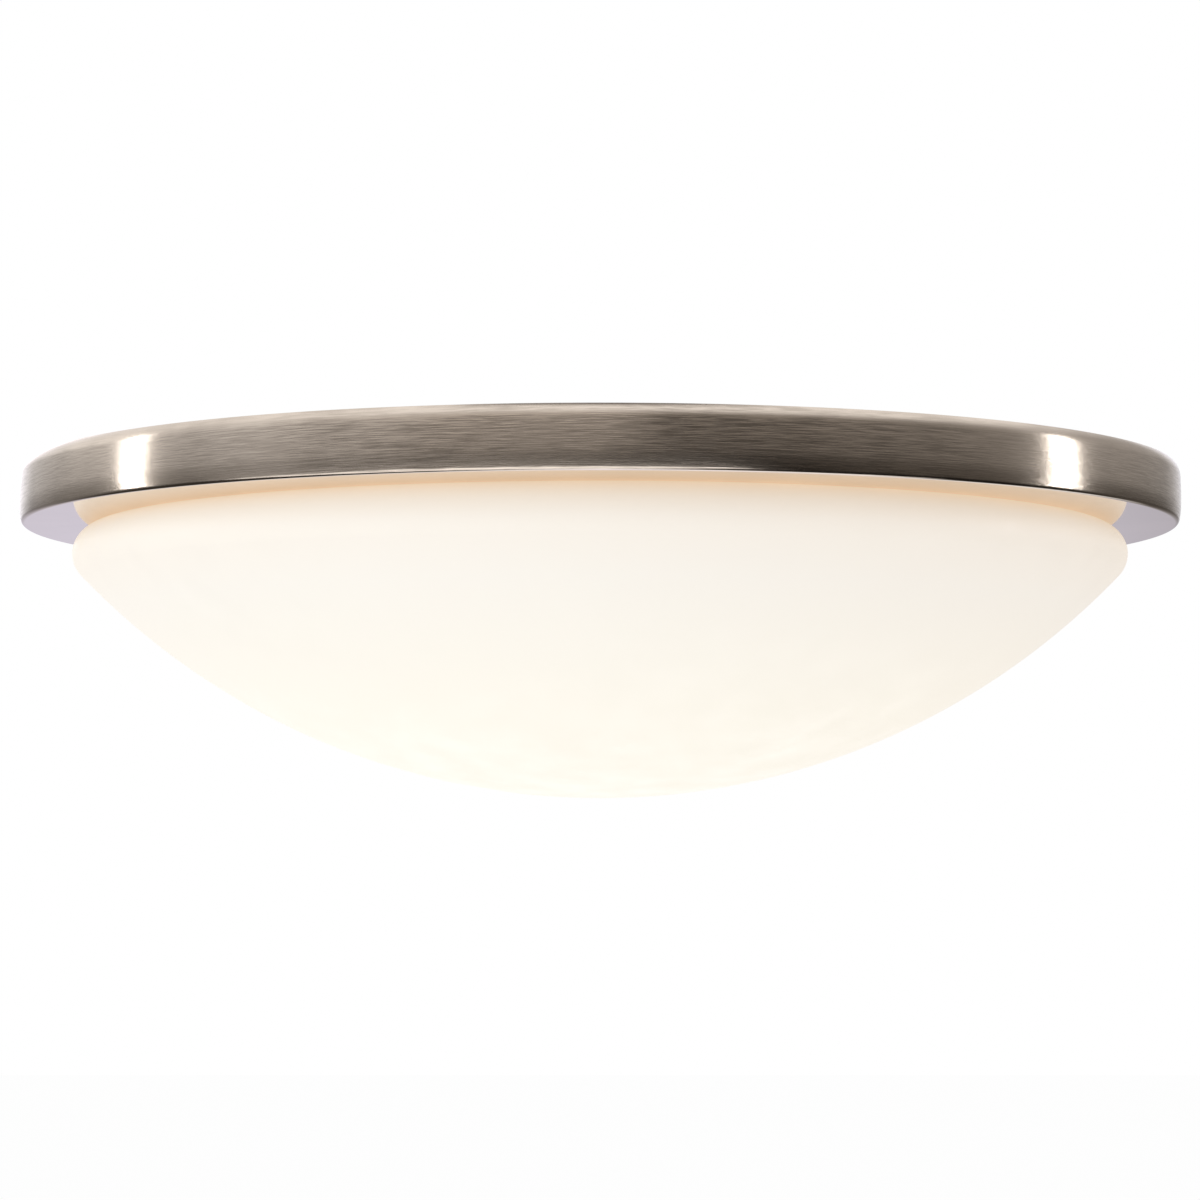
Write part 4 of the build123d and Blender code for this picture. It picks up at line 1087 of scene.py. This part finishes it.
@dataclass
class Studio:
    """White room with two strip lights, a grey tent for the metal, and the camera.

    Each row of the tent's cloth gives angles from the front, in degrees, and their levels.
    The walls' levels are multiplied by the crown's above them and by the belly's below. The
    low walls and then the ground take over further down, and the roof and the peak at the top.
    Each of these comes in between two heights.
    """

    camera_place: tuple[float, float, float] = (0.0, -1.0917, -0.1179)
    camera_pitch: float = 4.01
    lens: float = 98.84
    sensor: float = 36.0
    room_level: float = 0.45
    floor_height: float = -2.4
    floor_size: float = 60.0
    floor_shade: Colour = (0.86, 0.86, 0.86)
    floor_glow: float = 0.98
    strips: tuple[tuple[str, float, float], ...] = (
        ("strip_left", -95.1, 0.115),
        ("strip_right", 94.1, 0.12),
    )
    strip_distance: float = 1.72
    strip_middle: float = 0.05
    strip_length: float = 1.0
    strip_power: float = 30.0
    softboxes: tuple[Softbox, ...] = (
        Softbox("key", (-1.6, -1.8, -0.9), (1.2, 1.2), 21.0, (0.75, 0.9, 1.0)),
        Softbox("overhead", (0.3, 0.4, 2.4), (2.0, 2.0), 22.0),
    )
    tent_radius: float = 2.3
    tent_span: tuple[float, float] = (89.5, -89.5)
    tent_steps: tuple[int, int] = (48, 96)
    warm_below: float = 0.55
    warmth: tuple[float, float] = (0.2, 0.4)
    cool_from: float = 150.0
    coolness: float = 0.15
    middle_shade: Colour = (0.83, 0.83, 0.83)
    peak_shade: Colour = (0.06, 0.05, 0.045)
    crown_heights: tuple[float, float] = (0.2, 0.55)
    belly_heights: tuple[float, float] = (0.2, -0.05)
    low_wall_heights: tuple[float, float] = (-0.75, -1.2)
    ground_heights: tuple[float, float] = (-1.8, -2.0)
    roof_heights: tuple[float, float] = (1.0, 1.6)
    peak_heights: tuple[float, float] = (2.2, 2.26)
    walls: tuple[Point, ...] = (
        (-180, 1.95), (-165, 1.95), (-142, 0.63), (-126, 0.53), (-110, 0.53), (-94, 0.6),
        (-81, 0.54), (-74, 0.59), (-58, 0.47), (-28, 0.262), (0, 0.22), (14, 0.085), (28, 0.1),
        (42, 0.145), (58, 0.21), (81, 0.29), (94, 0.44), (118, 0.37), (141, 0.39), (160, 1.0),
        (168, 1.65), (180, 1.9),
    )
    crown: tuple[Point, ...] = (
        (-180, 1.5), (-126, 1.8), (-110, 2.0), (-90, 1.25), (-58, 1.5), (-28, 2.05), (0, 2.4),
        (14, 2.7), (28, 2.6), (58, 1.2), (81, 1.05), (118, 1.0), (150, 1.2), (180, 1.5),
    )
    belly: tuple[Point, ...] = (
        (-180, 0.35), (-120, 0.34), (-81, 0.33), (-58, 0.5), (-28, 0.56), (0, 0.2), (28, 0.16),
        (58, 0.32), (81, 0.28), (118, 0.17), (150, 0.22), (160, 0.35), (180, 0.35),
    )
    low_walls: tuple[Point, ...] = (
        (-180, 1.0), (-156, 1.0), (-148, 0.05), (-120, 0.04), (-88, 0.03), (-83, 0.05),
        (-79, 1.15), (24, 1.15), (34, 0.02), (60, 0.015), (110, 0.012), (135, 0.04), (146, 1.0),
        (180, 1.0),
    )
    ground: tuple[Point, ...] = (
        (-180, 1.1), (-156, 1.1), (-150, 0.03), (-85, 0.03), (-79, 1.1), (24, 1.1), (30, 0.02),
        (100, 0.02), (108, 1.1), (180, 1.1),
    )

    def camera(self) -> None:
        """Stands the camera in front of the light and a little below it."""
        data = bpy.data.cameras.new("camera")
        data.lens = self.lens
        data.sensor_width = self.sensor
        eye = bpy.data.objects.new("camera", data)
        eye.location = self.camera_place
        eye.rotation_euler = (math.radians(90.0 + self.camera_pitch), 0.0, 0.0)
        bpy.context.scene.collection.objects.link(eye)
        bpy.context.scene.camera = eye

    def lights(self) -> None:
        """Two tall strips at the sides, a soft key and a soft fill from above."""
        for name, angle, width in self.strips:
            side = math.radians(angle)
            across, ahead = math.sin(side), -math.cos(side)
            place = (self.strip_distance * across, self.strip_distance * ahead, self.strip_middle)
            size = (width, self.strip_length)
            Softbox(name, place, size, self.strip_power * width, mirrored=True).hang()
        for box in self.softboxes:
            box.hang()

    def world(self) -> None:
        """White where it is seen or mirrored, and a plain level of light elsewhere."""
        world = bpy.data.worlds.new("white_room")
        bpy.context.scene.world = world
        world.use_nodes = True
        sheet = Sheet(world.node_tree)
        path = sheet.node("LightPath").outputs
        seen = sheet.math("MAXIMUM", path["Is Camera Ray"], path["Is Glossy Ray"])
        seen = sheet.math("MAXIMUM", seen, path["Is Transmission Ray"])
        strength = sheet.spread(seen, self.room_level, 1.0)
        ground = sheet.node("Background", Color=WHITE, Strength=strength)
        sheet.end("OutputWorld", ground.outputs[0])

    def floor(self) -> None:
        """The plain pale floor of the room, white where the camera or a mirror sees it."""
        made, sheet = blank_material("pale_floor")
        path = sheet.node("LightPath").outputs
        seen = sheet.math("MAXIMUM", path["Is Camera Ray"], path["Is Glossy Ray"])
        matte = sheet.node("BsdfDiffuse", Color=self.floor_shade)
        glow = sheet.node("Emission", Color=WHITE, Strength=1.0)
        mix = sheet.node("MixShader", Fac=sheet.math("MULTIPLY", seen, self.floor_glow))
        sheet.feed(mix.inputs[1], matte.outputs[0])
        sheet.feed(mix.inputs[2], glow.outputs[0])
        sheet.end("OutputMaterial", mix.outputs[0])
        mesh = bmesh.new()
        bmesh.ops.create_grid(mesh, x_segments=1, y_segments=1, size=self.floor_size / 2)
        bmesh.ops.translate(mesh, verts=mesh.verts, vec=(0, 0, self.floor_height))
        self.stage("floor", mesh, made)

    def shades(self, sheet: Sheet, around: Socket, levels: tuple[Point, ...]) -> Socket:
        """Grey levels round the tent.

        Args:
            sheet: the tent's sheet.
            around: 0 to 1 round the tent, with the front at a half.
            levels: each angle from the front, and its level.

        Returns:
            The colour's output; the darker shades are warm, and the back is cool.
        """
        green, blue = self.warmth
        stops = []
        for angle, level in levels:
            warm = max(0.0, self.warm_below - level)
            cool = max(0.0, abs(angle) - self.cool_from) / (180.0 - self.cool_from)
            tints = (1 - green * warm, 1 - blue * warm + self.coolness * cool)
            stops.append((angle / 360 + 0.5, (level, level * tints[0], level * tints[1])))
        return sheet.ramp(around, stops)

    def cloth(self, sheet: Sheet) -> Socket:
        """The colour of the tent's cloth, by the angle and the height.

        Args:
            sheet: the tent's sheet.

        Returns:
            The colour's output.
        """
        across, ahead, height = sheet.axes()
        bearing = sheet.math("ARCTAN2", across, sheet.math("MULTIPLY", ahead, -1.0))
        around = sheet.math("ADD", sheet.math("DIVIDE", bearing, math.tau), 0.5)
        upper = sheet.spread(height, 0.0, 1.0, *self.crown_heights)
        lower = sheet.spread(height, 0.0, 1.0, *self.belly_heights)
        factor = sheet.blend(upper, self.middle_shade, self.shades(sheet, around, self.crown))
        factor = sheet.blend(lower, factor, self.shades(sheet, around, self.belly))
        colour = sheet.times(self.shades(sheet, around, self.walls), factor)
        for heights, shade in (
            (self.low_wall_heights, self.shades(sheet, around, self.low_walls)),
            (self.ground_heights, self.shades(sheet, around, self.ground)),
            (self.roof_heights, WHITE),
            (self.peak_heights, self.peak_shade),
        ):
            colour = sheet.blend(sheet.spread(height, 0.0, 1.0, *heights), colour, shade)
        return colour

    def tent(self) -> None:
        """Hangs a tent of grey cloth all round the light, seen only in its metal and glass."""
        made, sheet = blank_material("tent_cloth")
        glow = sheet.node("Emission", Color=self.cloth(sheet), Strength=1.0)
        sheet.end("OutputMaterial", glow.outputs[0])
        tall, wide = self.tent_steps
        mesh = bmesh.new()
        outline = arc((0.0, 0.0), self.tent_radius, *self.tent_span, tall)
        turn(mesh, outline, closed=False, steps=wide)
        tent = self.stage("tent", mesh, made)
        tent.visible_camera = tent.visible_diffuse = tent.visible_shadow = False
        tent.visible_transmission = False

    def stage(
        self, name: str, mesh: bmesh.types.BMesh, material: bpy.types.Material
    ) -> bpy.types.Object:
        """Makes a piece of the room, which is no part of the light.

        Args:
            name: of the piece.
            mesh: its bmesh, which is freed.
            material: its material.

        Returns:
            The piece.
        """
        piece = hung(name, mesh)
        piece.data.materials.append(material)
        return piece

    def build(self) -> None:
        """Sets up the camera, the room and its light."""
        self.camera()
        self.world()
        self.lights()
        self.floor()
        self.tent()
        bpy.context.scene.view_settings.view_transform = "Standard"


def main() -> None:
    """Builds the studio, dresses the light and reports each piece."""
    logging.basicConfig(level=logging.INFO, format="%(name)s: %(message)s")
    Studio().build()
    palette = Palette.mixed()
    palette.paint_frame()
    for piece in (TrimRing(palette).build(), GlassBowl(palette).build()):
        log.info("piece %s: %d vertices", piece.name, len(piece.data.vertices))


if __name__ == "__main__":
    main()
